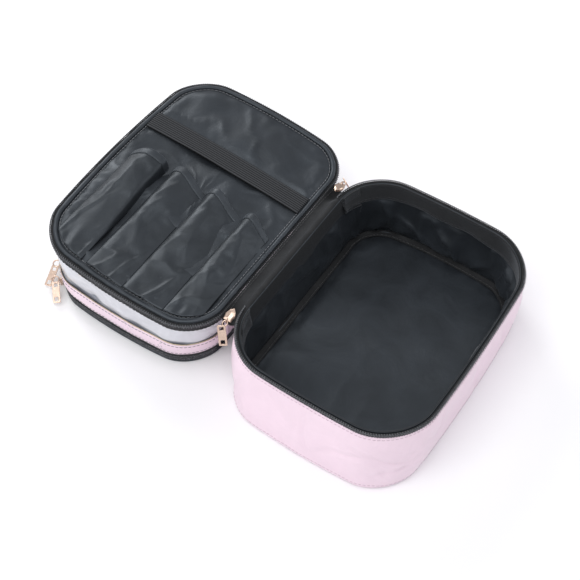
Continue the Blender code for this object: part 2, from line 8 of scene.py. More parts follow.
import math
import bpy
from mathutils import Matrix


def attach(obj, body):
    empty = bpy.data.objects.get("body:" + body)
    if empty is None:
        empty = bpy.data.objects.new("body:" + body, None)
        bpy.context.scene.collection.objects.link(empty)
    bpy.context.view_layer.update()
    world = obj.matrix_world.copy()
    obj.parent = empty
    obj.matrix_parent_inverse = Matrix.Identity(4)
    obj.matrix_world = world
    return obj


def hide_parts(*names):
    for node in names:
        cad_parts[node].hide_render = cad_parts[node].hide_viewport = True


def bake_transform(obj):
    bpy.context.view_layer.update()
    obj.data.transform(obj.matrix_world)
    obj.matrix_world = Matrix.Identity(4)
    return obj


bl_info = {
    "name": "Makeup Train Case",
    "version": (1, 0, 0),
    "blender": (4, 5, 0),
    "location": "View3D > Sidebar > Train Case",
    "description": "Builds a soft makeup train case lying open, piece by piece",
    "category": "Add Mesh",
}

import bmesh
import bpy
import numpy as np
from mathutils import Matrix, Vector

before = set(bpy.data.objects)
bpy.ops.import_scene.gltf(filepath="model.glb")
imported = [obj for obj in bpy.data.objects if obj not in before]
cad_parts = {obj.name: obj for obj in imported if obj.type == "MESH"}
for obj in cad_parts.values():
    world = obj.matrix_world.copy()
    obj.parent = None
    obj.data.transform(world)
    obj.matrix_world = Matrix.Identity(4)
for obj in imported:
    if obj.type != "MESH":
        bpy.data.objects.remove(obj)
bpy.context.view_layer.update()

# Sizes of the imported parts: outlines as (length, depth, corner radius, bow of the sides).
RIM = (0.242, 0.188, 0.048, 0.004)
BASE = (0.246, 0.176, 0.036, 0.0065)
BASE_SHIFT = np.array((-0.006, -0.003))
LOWER_HEIGHT = 0.0765
PANEL = (0.2455, 0.184, 0.037, 0.007)
LID = (0.241, 0.174, 0.037, 0.007)
PANEL_TILT = math.radians(4.6)
PANEL_Y = 0.1085
PANEL_Z = 0.0665
COMPARTMENT_SHIFT_X = 0.0045
LID_MIDDLE_Y = 0.2025
LID_HINGE_REACH = 0.0828
BACK_GAP = 0.0004

# Depths into the wall from its outer face, and heights.
LINING_INSET = 0.0038
BAND_INSET = 0.0047
TAB_INSET = 0.0056
WALL_TOP = 0.0718
LINING_TOP = 0.0740
FLOOR_TOP = 0.0053
COIL_SHOWN_R = 0.0013
CLEAR_INSET = 0.0013
CLEAR_FOOT = 0.0133
CLEAR_DROP = 0.0123
BAND_TOP = 0.0314
PANEL_RECESS = 0.0022
PANEL_INSET = 0.0072
ELASTIC_X = (0.0425, 0.0625)
LID_SPLIT = 0.0070

# How finely an outline is read before it is spread evenly.
CORNER_STEPS = 16
SIDE_STEPS = 30

AXIS_X = np.array((1.0, 0.0, 0.0))
AXIS_Y = np.array((0.0, 1.0, 0.0))
AXIS_Z = np.array((0.0, 0.0, 1.0))
PANEL_ALONG = np.array((0.0, math.cos(PANEL_TILT), math.sin(PANEL_TILT)))
PANEL_NORMAL = np.array((0.0, -math.sin(PANEL_TILT), math.cos(PANEL_TILT)))
PANEL_CORNER = np.array((0.0, PANEL_Y, PANEL_Z))


# ---------------------------------------------------------------- settings


def a_colour(name, description, default):
    """A colour that a user may change."""
    return bpy.props.FloatVectorProperty(
        name=name, description=description, subtype="COLOR", default=default, min=0.0, max=1.0
    )


def a_length(name, description, default, least=0.0):
    """A length that a user may change."""
    return bpy.props.FloatProperty(
        name=name, description=description, default=default, min=least, unit="LENGTH"
    )


class TrainCaseColours(bpy.types.PropertyGroup):
    leather: a_colour("Leather", "Coated leather of the walls and bands", (0.92, 0.735, 0.83))
    lining: a_colour(
        "Lining", "Satin of the lining, the panel and the pockets", (0.0155, 0.0180, 0.0215)
    )
    tape: a_colour("Tape", "Zipper tape, grosgrain and elastic", (0.011, 0.0115, 0.0125))
    metal: a_colour("Metal", "Plating of the sliders and pulls", (0.66, 0.50, 0.405))
    vinyl: a_colour("Vinyl", "Tint of the clear walls", (0.94, 0.945, 1.0))


class TrainCaseSizes(bpy.types.PropertyGroup):
    coil_pitch: a_length("Coil pitch", "Distance between two turns of a zipper coil", 0.0022, 0.0008)
    stitch: a_length("Stitch length", "Length of one stitch", 0.0027, 0.001)
    pocket_puff: a_length("Pocket puff", "Height of a brush pocket at its mouth", 0.0112, 0.002)
    wall_bulge: a_length("Wall bulge", "How far the padded wall swells at half its height", 0.0018)
    lining_slack: bpy.props.FloatProperty(
        name="Lining slack",
        description="How much larger the lining is cut than the wall it covers",
        default=0.030,
        min=0.0,
        subtype="FACTOR",
    )


def sizes():
    return bpy.context.scene.train_case_sizes


def colours():
    return bpy.context.scene.train_case_colours


# ---------------------------------------------------------------- outlines


def outline(size, inset=0.0):
    """Rounded rectangle with bowed sides and front and a straight back, counter-clockwise from
    the left end of its back."""
    length, depth, radius, bow = size
    a, b, r = length / 2 - inset, depth / 2 - inset, radius - inset
    corners = ((-1, 1), (-1, -1), (1, -1), (1, 1))
    points = []
    for turn, (sx, sy) in enumerate(corners, 1):
        angles = math.pi / 2 * (turn + np.arange(CORNER_STEPS + 1) / CORNER_STEPS)
        arc = np.stack((np.cos(angles), np.sin(angles)), 1) * r + (sx * (a - r), sy * (b - r))
        nx, ny = corners[turn % 4]
        far = math.pi / 2 * (turn + 1)
        towards = np.array((nx * (a - r) + r * math.cos(far), ny * (b - r) + r * math.sin(far)))
        steps = np.arange(1, SIDE_STEPS)[:, None] / SIDE_STEPS
        points += [arc, arc[-1] + (towards - arc[-1]) * steps]
    flat = np.concatenate(points)
    x, y = flat[:, 0], flat[:, 1]
    side = bow * np.clip(1 - (y / b) ** 2, 0, None) * np.abs(x / a) ** 4
    front = bow * np.clip(1 - (x / a) ** 2, 0, None) * np.abs(y / b) ** 4 * (y < 0)
    return np.stack((x + np.copysign(side, x), y - front), 1)


def lower_row(z, inset=0.0):
    """The lower case's outline at a height."""
    low = outline(BASE, inset) + BASE_SHIFT
    flat = low + (outline(RIM, inset) - low) * (z / LOWER_HEIGHT)
    return np.column_stack((flat, np.full(len(flat), z)))


def on_panel(x, y, height):
    """Points of the panel's own plane, x along the hinge and y away from it, in the world."""
    x, y, height = np.broadcast_arrays(x, y, height)
    return (
        PANEL_CORNER
        + x[..., None] * AXIS_X
        + y[..., None] * PANEL_ALONG
        + height[..., None] * PANEL_NORMAL
    )


def panel_flat(inset=0.0):
    return (COMPARTMENT_SHIFT_X, PANEL[1] / 2) - outline(PANEL, inset)


def lid_flat(inset=0.0):
    return (COMPARTMENT_SHIFT_X, LID_MIDDLE_Y) - outline(LID, inset)


def compartment_rows(inset):
    top = panel_flat(inset)
    low = lid_flat(inset)
    return on_panel(top[:, 0], top[:, 1], 0.0), np.column_stack((low, np.zeros(len(low))))


def panel_row(inset, drop):
    """The compartment's wall at a depth under the panel's plane."""
    high, foot = compartment_rows(inset)
    return high + (foot - high) * (drop / high[:, 2])[:, None]


def wall_row(inset, z):
    """The compartment's wall at a height."""
    high, foot = compartment_rows(inset)
    return foot + (high - foot) * (z / high[:, 2])[:, None]


def three_sides(row):
    """A row from one end of its back to the other, round the front."""
    return row[: len(row) - (SIDE_STEPS - 1)]


def back_side(row, half):
    """The straight back of a row, cut off at half on each side of its middle."""
    left, right = row[0], row[len(row) - SIDE_STEPS]
    middle = (left + right) / 2
    along = (left - right) / np.linalg.norm(left - right)
    return np.linspace(middle + along * half, middle - along * half, SIDE_STEPS)


def running(path):
    """How far along a path each of its points is."""
    steps = np.linalg.norm(np.diff(path, axis=0), axis=1)
    return np.concatenate(((0.0,), np.cumsum(steps)))


def read_at(places, run, values):
    """Three-part values along a path, read at places along its run."""
    return np.column_stack([np.interp(places, run, values[:, k]) for k in range(3)])


def evenly(rows, spacing, closed=False):
    """The rows read at places evenly spaced along the first of them, and those places."""
    if closed:
        rows = [np.concatenate((row, row[:1])) for row in rows]
    run = running(rows[0])
    count = max(3, round(run[-1] / spacing))
    places = np.linspace(0, run[-1], count + 1)
    if closed:
        places = places[:-1]
    index = np.interp(places, run, np.arange(len(run)))
    return np.array([read_at(index, np.arange(len(run)), row) for row in rows]), places


# ---------------------------------------------------------------- cloth and thread


def ripples(points, seed, low, high, waves=18, stretch=(1.0, 1.0, 1.0)):
    """Smooth seeded unevenness at points, between about -1 and 1: low and high are cycles per
    metre, and stretch makes it longer or shorter along each axis."""
    rng = np.random.default_rng(seed)
    total = np.zeros(points.shape[:-1])
    for _ in range(waves):
        heading = rng.normal(size=3)
        heading *= rng.uniform(low, high) / np.linalg.norm(heading)
        phase = rng.uniform(0, 2 * math.pi)
        total += np.sin(2 * math.pi * (points @ (heading / np.array(stretch))) + phase)
    return total / math.sqrt(waves) / 1.2


def creases(points, seed, low, high, stretch=(1.0, 1.0, 1.0)):
    """Ridged unevenness, from 0 to 1, with narrow crests where the cloth folds."""
    first = ripples(points, seed, low, high, 12, stretch)
    second = ripples(points, seed + 1, low * 2, high * 2, 12, stretch)
    return np.clip(1 - np.abs(first + 0.35 * second) * 2.2, 0, 1) ** 2


def ease(value, low, high):
    """0 at low, 1 at high, and smooth between them."""
    t = np.clip((value - low) / (high - low), 0, 1)
    return t * t * (3 - 2 * t)


def row_tangents(row, closed=False):
    if closed:
        step = np.roll(row, -1, 0) - np.roll(row, 1, 0)
    else:
        step = np.gradient(row, axis=0)
    return step / np.linalg.norm(step, axis=-1, keepdims=True)


def grid_normals(grid, closed=False):
    """Unit normals of a grid of points, rows by columns."""
    down = np.gradient(grid, axis=0)
    across = np.stack([row_tangents(row, closed) for row in grid])
    normal = np.cross(across, down)
    return normal / np.maximum(np.linalg.norm(normal, axis=-1, keepdims=True), 1e-12)


def grid_faces(rows, columns, closed=False):
    index = np.arange(rows * columns).reshape(rows, columns)
    right = np.roll(index, -1, 1)
    stop = columns if closed else columns - 1
    quads = np.stack((index[:-1], right[:-1], right[1:], index[1:]), -1)[:, :stop]
    return quads.reshape(-1, 4).tolist()


def link_piece(name, verts, faces, look, run=None):
    """A smooth mesh object from points and faces. Run holds each point's place in its cloth."""
    mesh = bpy.data.meshes.new(name)
    mesh.from_pydata(np.asarray(verts, float).reshape(-1, 3).tolist(), [], faces)
    if run is not None:
        layer = mesh.attributes.new("run", "FLOAT_VECTOR", "POINT")
        layer.data.foreach_set("vector", np.asarray(run, np.float32).ravel())
    mesh.shade_smooth()
    mesh.materials.append(look)
    piece = bpy.data.objects.new(name, mesh)
    bpy.context.scene.collection.objects.link(piece)
    return piece


def run_of(rows, places):
    """Cloth coordinates of a grid: metres along its rows, metres across them."""
    steps = np.linalg.norm(np.diff(rows, axis=0), axis=-1).mean(1)
    run = np.zeros(rows.shape)
    run[..., 0] = places[None, :]
    run[..., 1] = np.concatenate(((0.0,), np.cumsum(steps)))[:, None]
    return run


def cloth_piece(name, rows, look, thickness, places, closed=False, offset=-1.0):
    """A sheet through a grid of points, thickened to one side."""
    faces = grid_faces(len(rows), rows.shape[1], closed)
    piece = link_piece(name, rows, faces, look, run_of(rows, places))
    skin = piece.modifiers.new("thickness", "SOLIDIFY")
    skin.thickness = thickness
    skin.offset = offset
    return piece


def finish_piece(piece, body, slot, *stands_for):
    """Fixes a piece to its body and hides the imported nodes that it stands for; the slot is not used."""
    if body:
        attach(piece, body)
    if stands_for:
        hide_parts(*stands_for)


def swept(path, normals, profile, closed=False):
    """Points, faces and cloth coordinates of a profile drawn along a path. The profile's first
    number is along the normal and its second across the path."""
    tangent = row_tangents(path, closed)
    across = np.cross(tangent, normals)
    across /= np.linalg.norm(across, axis=1, keepdims=True)
    upright = np.cross(across, tangent)
    profile = np.asarray(profile, float)
    if profile.ndim == 2:
        profile = np.broadcast_to(profile, (len(path), *profile.shape))
    verts = (
        path[:, None]
        + profile[..., :1] * upright[:, None]
        + profile[..., 1:] * across[:, None]
    )
    around = verts.shape[1]
    index = np.arange(len(path) * around).reshape(len(path), around)
    ahead = np.roll(index, -1, 0)
    beside = np.roll(index, -1, 1)
    corner = np.roll(ahead, -1, 1)
    stop = len(path) if closed else len(path) - 1
    faces = np.stack((index[:stop], beside[:stop], corner[:stop], ahead[:stop]), -1)
    faces = faces.reshape(-1, 4).tolist()
    if not closed:
        faces += [index[0][::-1].tolist(), index[-1].tolist()]
    run = np.zeros(verts.shape)
    run[..., 0] = running(path)[:, None]
    run[..., 1] = running(profile[0])[None, :]
    return verts.reshape(-1, 3), faces, run.reshape(-1, 3)


def circle(radius, sides, flat=1.0):
    angles = 2 * math.pi * np.arange(sides) / sides
    return np.stack((np.cos(angles) * radius * flat, np.sin(angles) * radius), 1)


def gathered_up(parts):
    """Several (points, faces, run) as one."""
    verts, faces, runs, start = [], [], [], 0
    for part_verts, part_faces, part_run in parts:
        verts.append(part_verts)
        runs.append(part_run)
        faces += [[i + start for i in face] for face in part_faces]
        start += len(part_verts)
    return np.concatenate(verts), faces, np.concatenate(runs)


def tube_piece(name, path, radius, look, sides=10, closed=False, normals=None, flat=1.0):
    if normals is None:
        normals = np.broadcast_to(AXIS_Z, path.shape)
    verts, faces, run = swept(path, normals, circle(radius, sides, flat), closed)
    piece = link_piece(name, verts, faces, look, run)
    face_out(piece)
    return piece


def face_out(piece):
    """Turns a closed piece's faces outwards."""
    volume = 0.0
    points = np.array([v.co for v in piece.data.vertices])
    for face in piece.data.polygons:
        a, b, c = points[list(face.vertices[:3])]
        volume += np.dot(a, np.cross(b, c))
        if len(face.vertices) == 4:
            volume += np.dot(a, np.cross(c, points[face.vertices[3]]))
    if volume < 0:
        piece.data.flip_normals()


COIL_TURN_POINTS = 7
COIL_WIRE_SIDES = 5
COIL_WIRE_R = 0.00042
COIL_FLATNESS = 1.5


def coil_parts(path, normals, radius, wire, closed=False):
    """A zipper coil: one wire wound flat round a path, with the cord that it is sewn on. It is
    thin along its normals and wide across them."""
    pitch = sizes().coil_pitch
    line = np.concatenate((path, path[:1])) if closed else path
    run = running(line)
    turns = round(run[-1] / pitch)
    places = np.linspace(0, run[-1], turns * COIL_TURN_POINTS + 1)
    if closed:
        places = places[:-1]
        normals = np.concatenate((normals, normals[:1]))
    centre = read_at(places, run, line)
    up = read_at(places, run, normals)
    across = np.cross(row_tangents(centre, closed), up)
    across /= np.linalg.norm(across, axis=1, keepdims=True)
    angle = 2 * math.pi * np.arange(len(places)) / COIL_TURN_POINTS
    out = np.cos(angle)[:, None] * up + np.sin(angle)[:, None] * across
    thin, wide = radius / COIL_FLATNESS - wire, radius * COIL_FLATNESS - wire
    wound = centre + thin * np.cos(angle)[:, None] * up + wide * np.sin(angle)[:, None] * across
    core = slice(None, None, COIL_TURN_POINTS)
    return [
        swept(wound, out, circle(wire, COIL_WIRE_SIDES), closed),
        swept(centre[core], up[core], circle(radius * 0.30, 6), closed),
    ]


def coil_piece(name, path, normals, radius, look, closed=False):
    parts = coil_parts(path, normals, radius, COIL_WIRE_R, closed)
    piece = link_piece(name, *gathered_up(parts)[:2], look)
    face_out(piece)
    return piece


STITCH_GAP = 0.0011
STITCH_RISE = ((0.0, -0.9), (0.18, 0.35), (0.5, 0.65), (0.82, 0.35), (1.0, -0.9))


def stitches(path, normals, radius, length=None, closed=False):
    """Rows of thread along a path: each stitch dips into the cloth at both its ends."""
    length = length or sizes().stitch
    line = np.concatenate((path, path[:1])) if closed else path
    up = np.concatenate((normals, normals[:1])) if closed else normals
    run = running(line)
    count = max(1, int(run[-1] / (length + STITCH_GAP)))
    parts = []
    for number in range(count):
        start = run[-1] * number / count
        places = np.array([start + part * length for part, _ in STITCH_RISE])
        lift = np.array([rise * radius for _, rise in STITCH_RISE])
        ups = read_at(places, run, up)
        spots = read_at(places, run, line) + ups * lift[:, None]
        parts.append(swept(spots, ups, circle(radius, 5)))
    return parts


def sew(name, thread, look, body, slot):
    """One piece of all these stitches, fixed to the body if one is given."""
    piece = link_piece(name, *gathered_up(thread)[:2], LOOKS[look])
    face_out(piece)
    finish_piece(piece, body, slot)
    return piece


SETTLE_FRAMES = 22


def settle(piece, held, slack, cap, bending):
    """Lets a cloth find its own folds with some slack, held at the weighted points, and keeps
    the result with no point moved further than the cap. Held is a weight for each point."""
    scene = bpy.context.scene
    scene.frame_set(1)
    group = piece.vertex_groups.new(name="held")
    for weight in np.unique(np.round(held, 1)):
        if weight > 0:
            group.add(np.flatnonzero(np.round(held, 1) == weight).tolist(), weight, "REPLACE")
    skins = [m for m in piece.modifiers if m.type == "SOLIDIFY"]
    for skin in skins:
        skin.show_viewport = False
    cloth = piece.modifiers.new("cloth", "CLOTH")
    cloth.settings.quality = 7
    cloth.settings.mass = 0.12
    cloth.settings.tension_stiffness = 12
    cloth.settings.compression_stiffness = 12
    cloth.settings.shear_stiffness = 6
    cloth.settings.bending_stiffness = bending
    cloth.settings.air_damping = 2.0
    cloth.settings.shrink_min = -slack
    cloth.settings.shrink_max = -slack
    cloth.settings.effector_weights.gravity = 0
    cloth.settings.vertex_group_mass = "held"
    cloth.collision_settings.use_collision = False
    cloth.point_cache.frame_start = 1
    cloth.point_cache.frame_end = SETTLE_FRAMES
    rest = coords(piece.data)
    for number in range(1, SETTLE_FRAMES + 1):
        scene.frame_set(number)
    graph = bpy.context.evaluated_depsgraph_get()
    moved = coords(piece.evaluated_get(graph).data) - rest
    piece.modifiers.remove(cloth)
    piece.vertex_groups.remove(group)
    for skin in skins:
        skin.show_viewport = True
    scene.frame_set(1)
    moved = smoothed(piece.data, moved)
    reach = np.linalg.norm(moved, axis=1, keepdims=True)
    moved *= np.tanh(reach / cap) * cap / np.maximum(reach, 1e-9)
    put(piece.data, rest + moved)


def smoothed(mesh, moves, rounds=6):
    """Each point's move, averaged with those of the points that it is joined to."""
    ends = np.zeros(len(mesh.edges) * 2, np.int32)
    mesh.edges.foreach_get("vertices", ends)
    ends = ends.reshape(-1, 2)
    joined = np.bincount(ends.ravel(), minlength=len(moves))[:, None]
    for _ in range(rounds):
        total = np.zeros(moves.shape)
        np.add.at(total, ends[:, 0], moves[ends[:, 1]])
        np.add.at(total, ends[:, 1], moves[ends[:, 0]])
        moves = (moves + total / joined) / 2
    return moves


def coords(mesh):
    co = np.zeros(len(mesh.vertices) * 3, np.float32)
    mesh.vertices.foreach_get("co", co)
    return co.reshape(-1, 3).astype(float)


def put(mesh, points):
    mesh.vertices.foreach_set("co", np.asarray(points, np.float32).ravel())
    mesh.update()


def filled_outline(flat, spacing, rings):
    """A closed outline filled with rings that shrink to its middle: (rings, count, 2)."""
    closed = np.column_stack((flat, np.zeros(len(flat))))
    rim, _ = evenly([closed], spacing, closed=True)
    rim = rim[0][:, :2]
    middle = rim.mean(0)
    parts = 1 - (np.arange(rings) / (rings - 0.6)) ** 1.25
    return middle + (rim - middle) * parts[:, None, None]


# ---------------------------------------------------------------- finishes


def node(tree, kind, inputs=None, **settings):
    """A shader node with its inputs set or linked."""
    made = tree.nodes.new(kind)
    for key, value in settings.items():
        setattr(made, key, value)
    for key, value in (inputs or {}).items():
        if isinstance(value, bpy.types.NodeSocket):
            tree.links.new(value, made.inputs[key])
        else:
            made.inputs[key].default_value = value
    return made


def arithmetic(tree, operation, *values, clamp=False):
    made = node(tree, "ShaderNodeMath", dict(enumerate(values)), operation=operation)
    made.use_clamp = clamp
    return made.outputs[0]


def effect(name, inputs, outputs):
    """An empty node group with named sockets: its tree, its inputs and its output node."""
    tree = bpy.data.node_groups.new(name, "ShaderNodeTree")
    for socket, kind, default in inputs:
        made = tree.interface.new_socket(name=socket, in_out="INPUT", socket_type=kind)
        if default is not None:
            made.default_value = default
    for socket, kind in outputs:
        tree.interface.new_socket(name=socket, in_out="OUTPUT", socket_type=kind)
    entry = tree.nodes.new("NodeGroupInput")
    leave = tree.nodes.new("NodeGroupOutput")
    return tree, entry.outputs, leave


VALUE = "NodeSocketFloat"
VECTOR = "NodeSocketVector"


def make_weave():
    """Plain weave: threads that pass over and under each other along the cloth's own run."""
    inputs = (("Run", VECTOR, None), ("Threads", VALUE, 1500.0), ("Ribs", VALUE, 1.0))
    tree, given, leave = effect("weave", inputs, (("Height", VALUE), ("Shade", VALUE)))
    run = node(tree, "ShaderNodeSeparateXYZ", {0: given["Run"]})
    turn = arithmetic(tree, "MULTIPLY", given["Threads"], 2 * math.pi)
    warp = arithmetic(tree, "MULTIPLY", run.outputs[0], turn)
    weft = arithmetic(tree, "MULTIPLY", run.outputs[1], turn)
    weft = arithmetic(tree, "MULTIPLY", weft, given["Ribs"])
    over = arithmetic(tree, "MULTIPLY", arithmetic(tree, "SINE", warp), arithmetic(tree, "SINE", weft))
    height = arithmetic(tree, "MULTIPLY_ADD", over, 0.5, 0.5)
    loose = node(tree, "ShaderNodeTexNoise", {"Vector": given["Run"], "Scale": 900.0, "Detail": 2.0})
    shade = arithmetic(tree, "MULTIPLY", height, loose.outputs[0])
    tree.links.new(height, leave.inputs["Height"])
    tree.links.new(shade, leave.inputs["Shade"])
    return tree


def make_grain():
    """Pebbled skin of a coated leather, with a few longer wrinkles between the pebbles."""
    inputs = (("Vector", VECTOR, None), ("Pebbles", VALUE, 1400.0), ("Wrinkle", VALUE, 0.35))
    tree, given, leave = effect("grain", inputs, (("Height", VALUE), ("Shade", VALUE)))
    cells = node(
        tree,
        "ShaderNodeTexVoronoi",
        {"Vector": given["Vector"], "Scale": given["Pebbles"]},
        feature="SMOOTH_F1",
    )
    pebble = arithmetic(tree, "SUBTRACT", 1.0, cells.outputs["Distance"], clamp=True)
    long = node(
        tree,
        "ShaderNodeTexNoise",
        {"Vector": given["Vector"], "Scale": 120.0, "Detail": 6.0, "Distortion": 1.2},
    )
    wrinkle = arithmetic(tree, "MULTIPLY", long.outputs[0], given["Wrinkle"])
    height = arithmetic(tree, "ADD", arithmetic(tree, "MULTIPLY", pebble, 0.3), wrinkle)
    tree.links.new(height, leave.inputs["Height"])
    tree.links.new(pebble, leave.inputs["Shade"])
    return tree


def make_mottle():
    """Soft cloudy unevenness of colour and polish."""
    inputs = (
        ("Vector", VECTOR, None),
        ("Scale", VALUE, 20.0),
        ("Detail", VALUE, 4.0),
        ("Swirl", VALUE, 0.6),
    )
    tree, given, leave = effect("mottle", inputs, (("Mask", VALUE), ("Height", VALUE)))
    cloud = node(
        tree,
        "ShaderNodeTexNoise",
        {
            "Vector": given["Vector"],
            "Scale": given["Scale"],
            "Detail": given["Detail"],
            "Distortion": given["Swirl"],
        },
    )
    spread = node(tree, "ShaderNodeMapRange", {0: cloud.outputs[0], 1: 0.32, 2: 0.68})
    tree.links.new(spread.outputs[0], leave.inputs["Mask"])
    tree.links.new(cloud.outputs[0], leave.inputs["Height"])
    return tree


def make_wear():
    """Rubbed edges and small scuffs: raised edges, broken up by noise."""
    inputs = (("Vector", VECTOR, None), ("Amount", VALUE, 0.5))
    tree, given, leave = effect("wear", inputs, (("Edges", VALUE), ("Scuffs", VALUE)))
    shape = node(tree, "ShaderNodeNewGeometry")
    raised = node(tree, "ShaderNodeMapRange", {0: shape.outputs["Pointiness"], 1: 0.52, 2: 0.60})
    broken = node(tree, "ShaderNodeTexNoise", {"Vector": given["Vector"], "Scale": 260.0, "Detail": 5.0})
    edges = arithmetic(tree, "MULTIPLY", raised.outputs[0], broken.outputs[0])
    edges = arithmetic(tree, "MULTIPLY", edges, given["Amount"], clamp=True)
    fine = node(tree, "ShaderNodeTexNoise", {"Vector": given["Vector"], "Scale": 900.0, "Detail": 3.0})
    marks = node(tree, "ShaderNodeMapRange", {0: fine.outputs[0], 1: 0.60, 2: 0.75})
    scuffs = arithmetic(tree, "MULTIPLY", marks.outputs[0], given["Amount"], clamp=True)
    tree.links.new(edges, leave.inputs["Edges"])
    tree.links.new(scuffs, leave.inputs["Scuffs"])
    return tree


EFFECTS = {}
LOOKS = {}


def placed(tree, name, **inputs):
    """One of the shared effects, placed in a finish."""
    values = {key.replace("_", " "): value for key, value in inputs.items()}
    made = tree.nodes.new("ShaderNodeGroup")
    made.node_tree = EFFECTS[name]
    for key, value in values.items():
        if isinstance(value, bpy.types.NodeSocket):
            tree.links.new(value, made.inputs[key])
        else:
            made.inputs[key].default_value = value
    return made.outputs


def new_finish(name, **sockets):
    """A material with its shader's own sockets set: its tree, its shader and its coordinates."""
    look = bpy.data.materials.new(name)
    look.use_nodes = True
    tree = look.node_tree
    shader = tree.nodes["Principled BSDF"]
    for key, value in sockets.items():
        shader.inputs[key.replace("_", " ")].default_value = value
    place = node(tree, "ShaderNodeTexCoord").outputs["Object"]
    LOOKS[name] = look
    return tree, shader, place


def run_place(tree):
    return node(tree, "ShaderNodeAttribute", attribute_name="run").outputs["Vector"]


def blend_colours(tree, mask, first, second):
    mix = node(tree, "ShaderNodeMix", data_type="RGBA")
    for socket, value in zip((mix.inputs[0], mix.inputs[6], mix.inputs[7]), (mask, first, second)):
        if isinstance(value, bpy.types.NodeSocket):
            tree.links.new(value, socket)
        else:
            socket.default_value = value
    return mix.outputs[2]


def shade(colour, factor):
    return (*[min(1.0, channel * factor) for channel in colour], 1.0)


def bumped(tree, height, strength, distance, under=None):
    inputs = {"Height": height, "Strength": strength, "Distance": distance}
    if under is not None:
        inputs["Normal"] = under
    return node(tree, "ShaderNodeBump", inputs).outputs[0]


def span(tree, mask, low, high):
    return node(tree, "ShaderNodeMapRange", {0: mask, 3: low, 4: high}).outputs[0]


def make_leather_look(name, colour, roughness=(0.34, 0.50), flecks=0.0):
    tree, shader, place = new_finish(name, Coat_Weight=0.10, Coat_Roughness=0.35, Specular_IOR_Level=0.42)
    cloud = placed(tree, "mottle", Vector=place, Scale=16.0, Swirl=1.1)
    vein = placed(tree, "mottle", Vector=place, Scale=55.0, Detail=6.0, Swirl=2.2)
    grain = placed(tree, "grain", Vector=place, Pebbles=1500.0)
    wear = placed(tree, "wear", Vector=place, Amount=0.5)
    base = blend_colours(tree, cloud["Mask"], shade(colour, 0.965), shade(colour, 1.03))
    tone = arithmetic(tree, "MULTIPLY", vein["Mask"], 0.10)
    base = blend_colours(tree, tone, base, shade(colour, 0.80))
    base = blend_colours(tree, wear["Edges"], base, shade(colour, 1.12))
    rough = span(tree, cloud["Mask"], *roughness)
    if flecks:
        foil = node(tree, "ShaderNodeTexVoronoi", {"Vector": place, "Scale": 420.0})
        patch = node(tree, "ShaderNodeTexNoise", {"Vector": place, "Scale": 38.0, "Detail": 3.0})
        close = node(tree, "ShaderNodeMapRange", {0: foil.outputs["Distance"], 1: 0.34, 2: 0.20})
        where = node(tree, "ShaderNodeMapRange", {0: patch.outputs[0], 1: 0.54, 2: 0.62})
        shine = arithmetic(tree, "MULTIPLY", close.outputs[0], where.outputs[0])
        shine = arithmetic(tree, "MULTIPLY", shine, flecks)
        base = blend_colours(tree, shine, base, (0.42, 0.40, 0.41, 1.0))
        tree.links.new(shine, shader.inputs["Metallic"])
    tree.links.new(base, shader.inputs["Base Color"])
    tree.links.new(rough, shader.inputs["Roughness"])
    normal = bumped(tree, vein["Height"], 0.35, 0.0012)
    normal = bumped(tree, grain["Height"], 0.45, 0.00022, normal)
    tree.links.new(normal, shader.inputs["Normal"])


SATIN_THREADS = 2600.0


def make_satin_look(name, colour, roughness=(0.40, 0.52), sheen=0.04):
    """Satin lining: soft broad shine that breaks up where the cloth is pulled. Its colour carries cloudy
    painted shade and painted light that stand in for the shading of its folds.
    """
    tree, shader, place = new_finish(
        name, Sheen_Weight=sheen, Sheen_Roughness=0.45, Specular_IOR_Level=0.62, Anisotropic=0.35
    )
    shader.inputs["Specular Tint"].default_value = (0.82, 0.91, 1.0, 1.0)
    shader.inputs["Sheen Tint"].default_value = (0.72, 0.80, 0.92, 1.0)
    run = run_place(tree)
    weave = placed(tree, "weave", Run=run, Threads=SATIN_THREADS)
    cloud = placed(tree, "mottle", Vector=place, Scale=26.0, Detail=5.0, Swirl=1.0)
    fine = placed(tree, "mottle", Vector=place, Scale=210.0, Detail=4.0)
    # Painted shade and light: the cloud darkens and lightens the colour as the shading of folds would.
    base = blend_colours(tree, cloud["Mask"], shade(colour, 0.50), shade(colour, 1.40))
    base = blend_colours(tree, arithmetic(tree, "MULTIPLY", weave["Shade"], 0.5), base, shade(colour, 1.9))
    tree.links.new(base, shader.inputs["Base Color"])
    rough = span(tree, cloud["Mask"], roughness[1], roughness[0])
    tree.links.new(rough, shader.inputs["Roughness"])
    normal = bumped(tree, cloud["Height"], 0.5, 0.0016)
    normal = bumped(tree, fine["Height"], 0.35, 0.0002, normal)
    normal = bumped(tree, weave["Height"], 0.25, 0.00004, normal)
    tree.links.new(normal, shader.inputs["Normal"])


def make_tape_look(name, colour, threads, ribs=1.0, depth=0.0001, roughness=(0.68, 0.86), sheen=0.25):
    """Matt woven tape, with a weave coarse enough to see."""
    tree, shader, place = new_finish(name, Sheen_Weight=sheen, Sheen_Roughness=0.5, Specular_IOR_Level=0.3)
    shader.inputs["Sheen Tint"].default_value = (0.75, 0.80, 0.88, 1.0)
    run = run_place(tree)
    weave = placed(tree, "weave", Run=run, Threads=threads, Ribs=ribs)
    cloud = placed(tree, "mottle", Vector=place, Scale=70.0)
    lint = placed(tree, "mottle", Vector=place, Scale=1600.0, Detail=2.0)
    base = blend_colours(tree, weave["Height"], shade(colour, 0.55), shade(colour, 1.55))
    base = blend_colours(tree, arithmetic(tree, "MULTIPLY", lint["Mask"], 0.3), base, shade(colour, 2.4))
    tree.links.new(base, shader.inputs["Base Color"])
    tree.links.new(span(tree, cloud["Mask"], *roughness), shader.inputs["Roughness"])
    normal = bumped(tree, lint["Height"], 0.4, 0.00012)
    normal = bumped(tree, weave["Height"], 0.8, depth, normal)
    tree.links.new(normal, shader.inputs["Normal"])


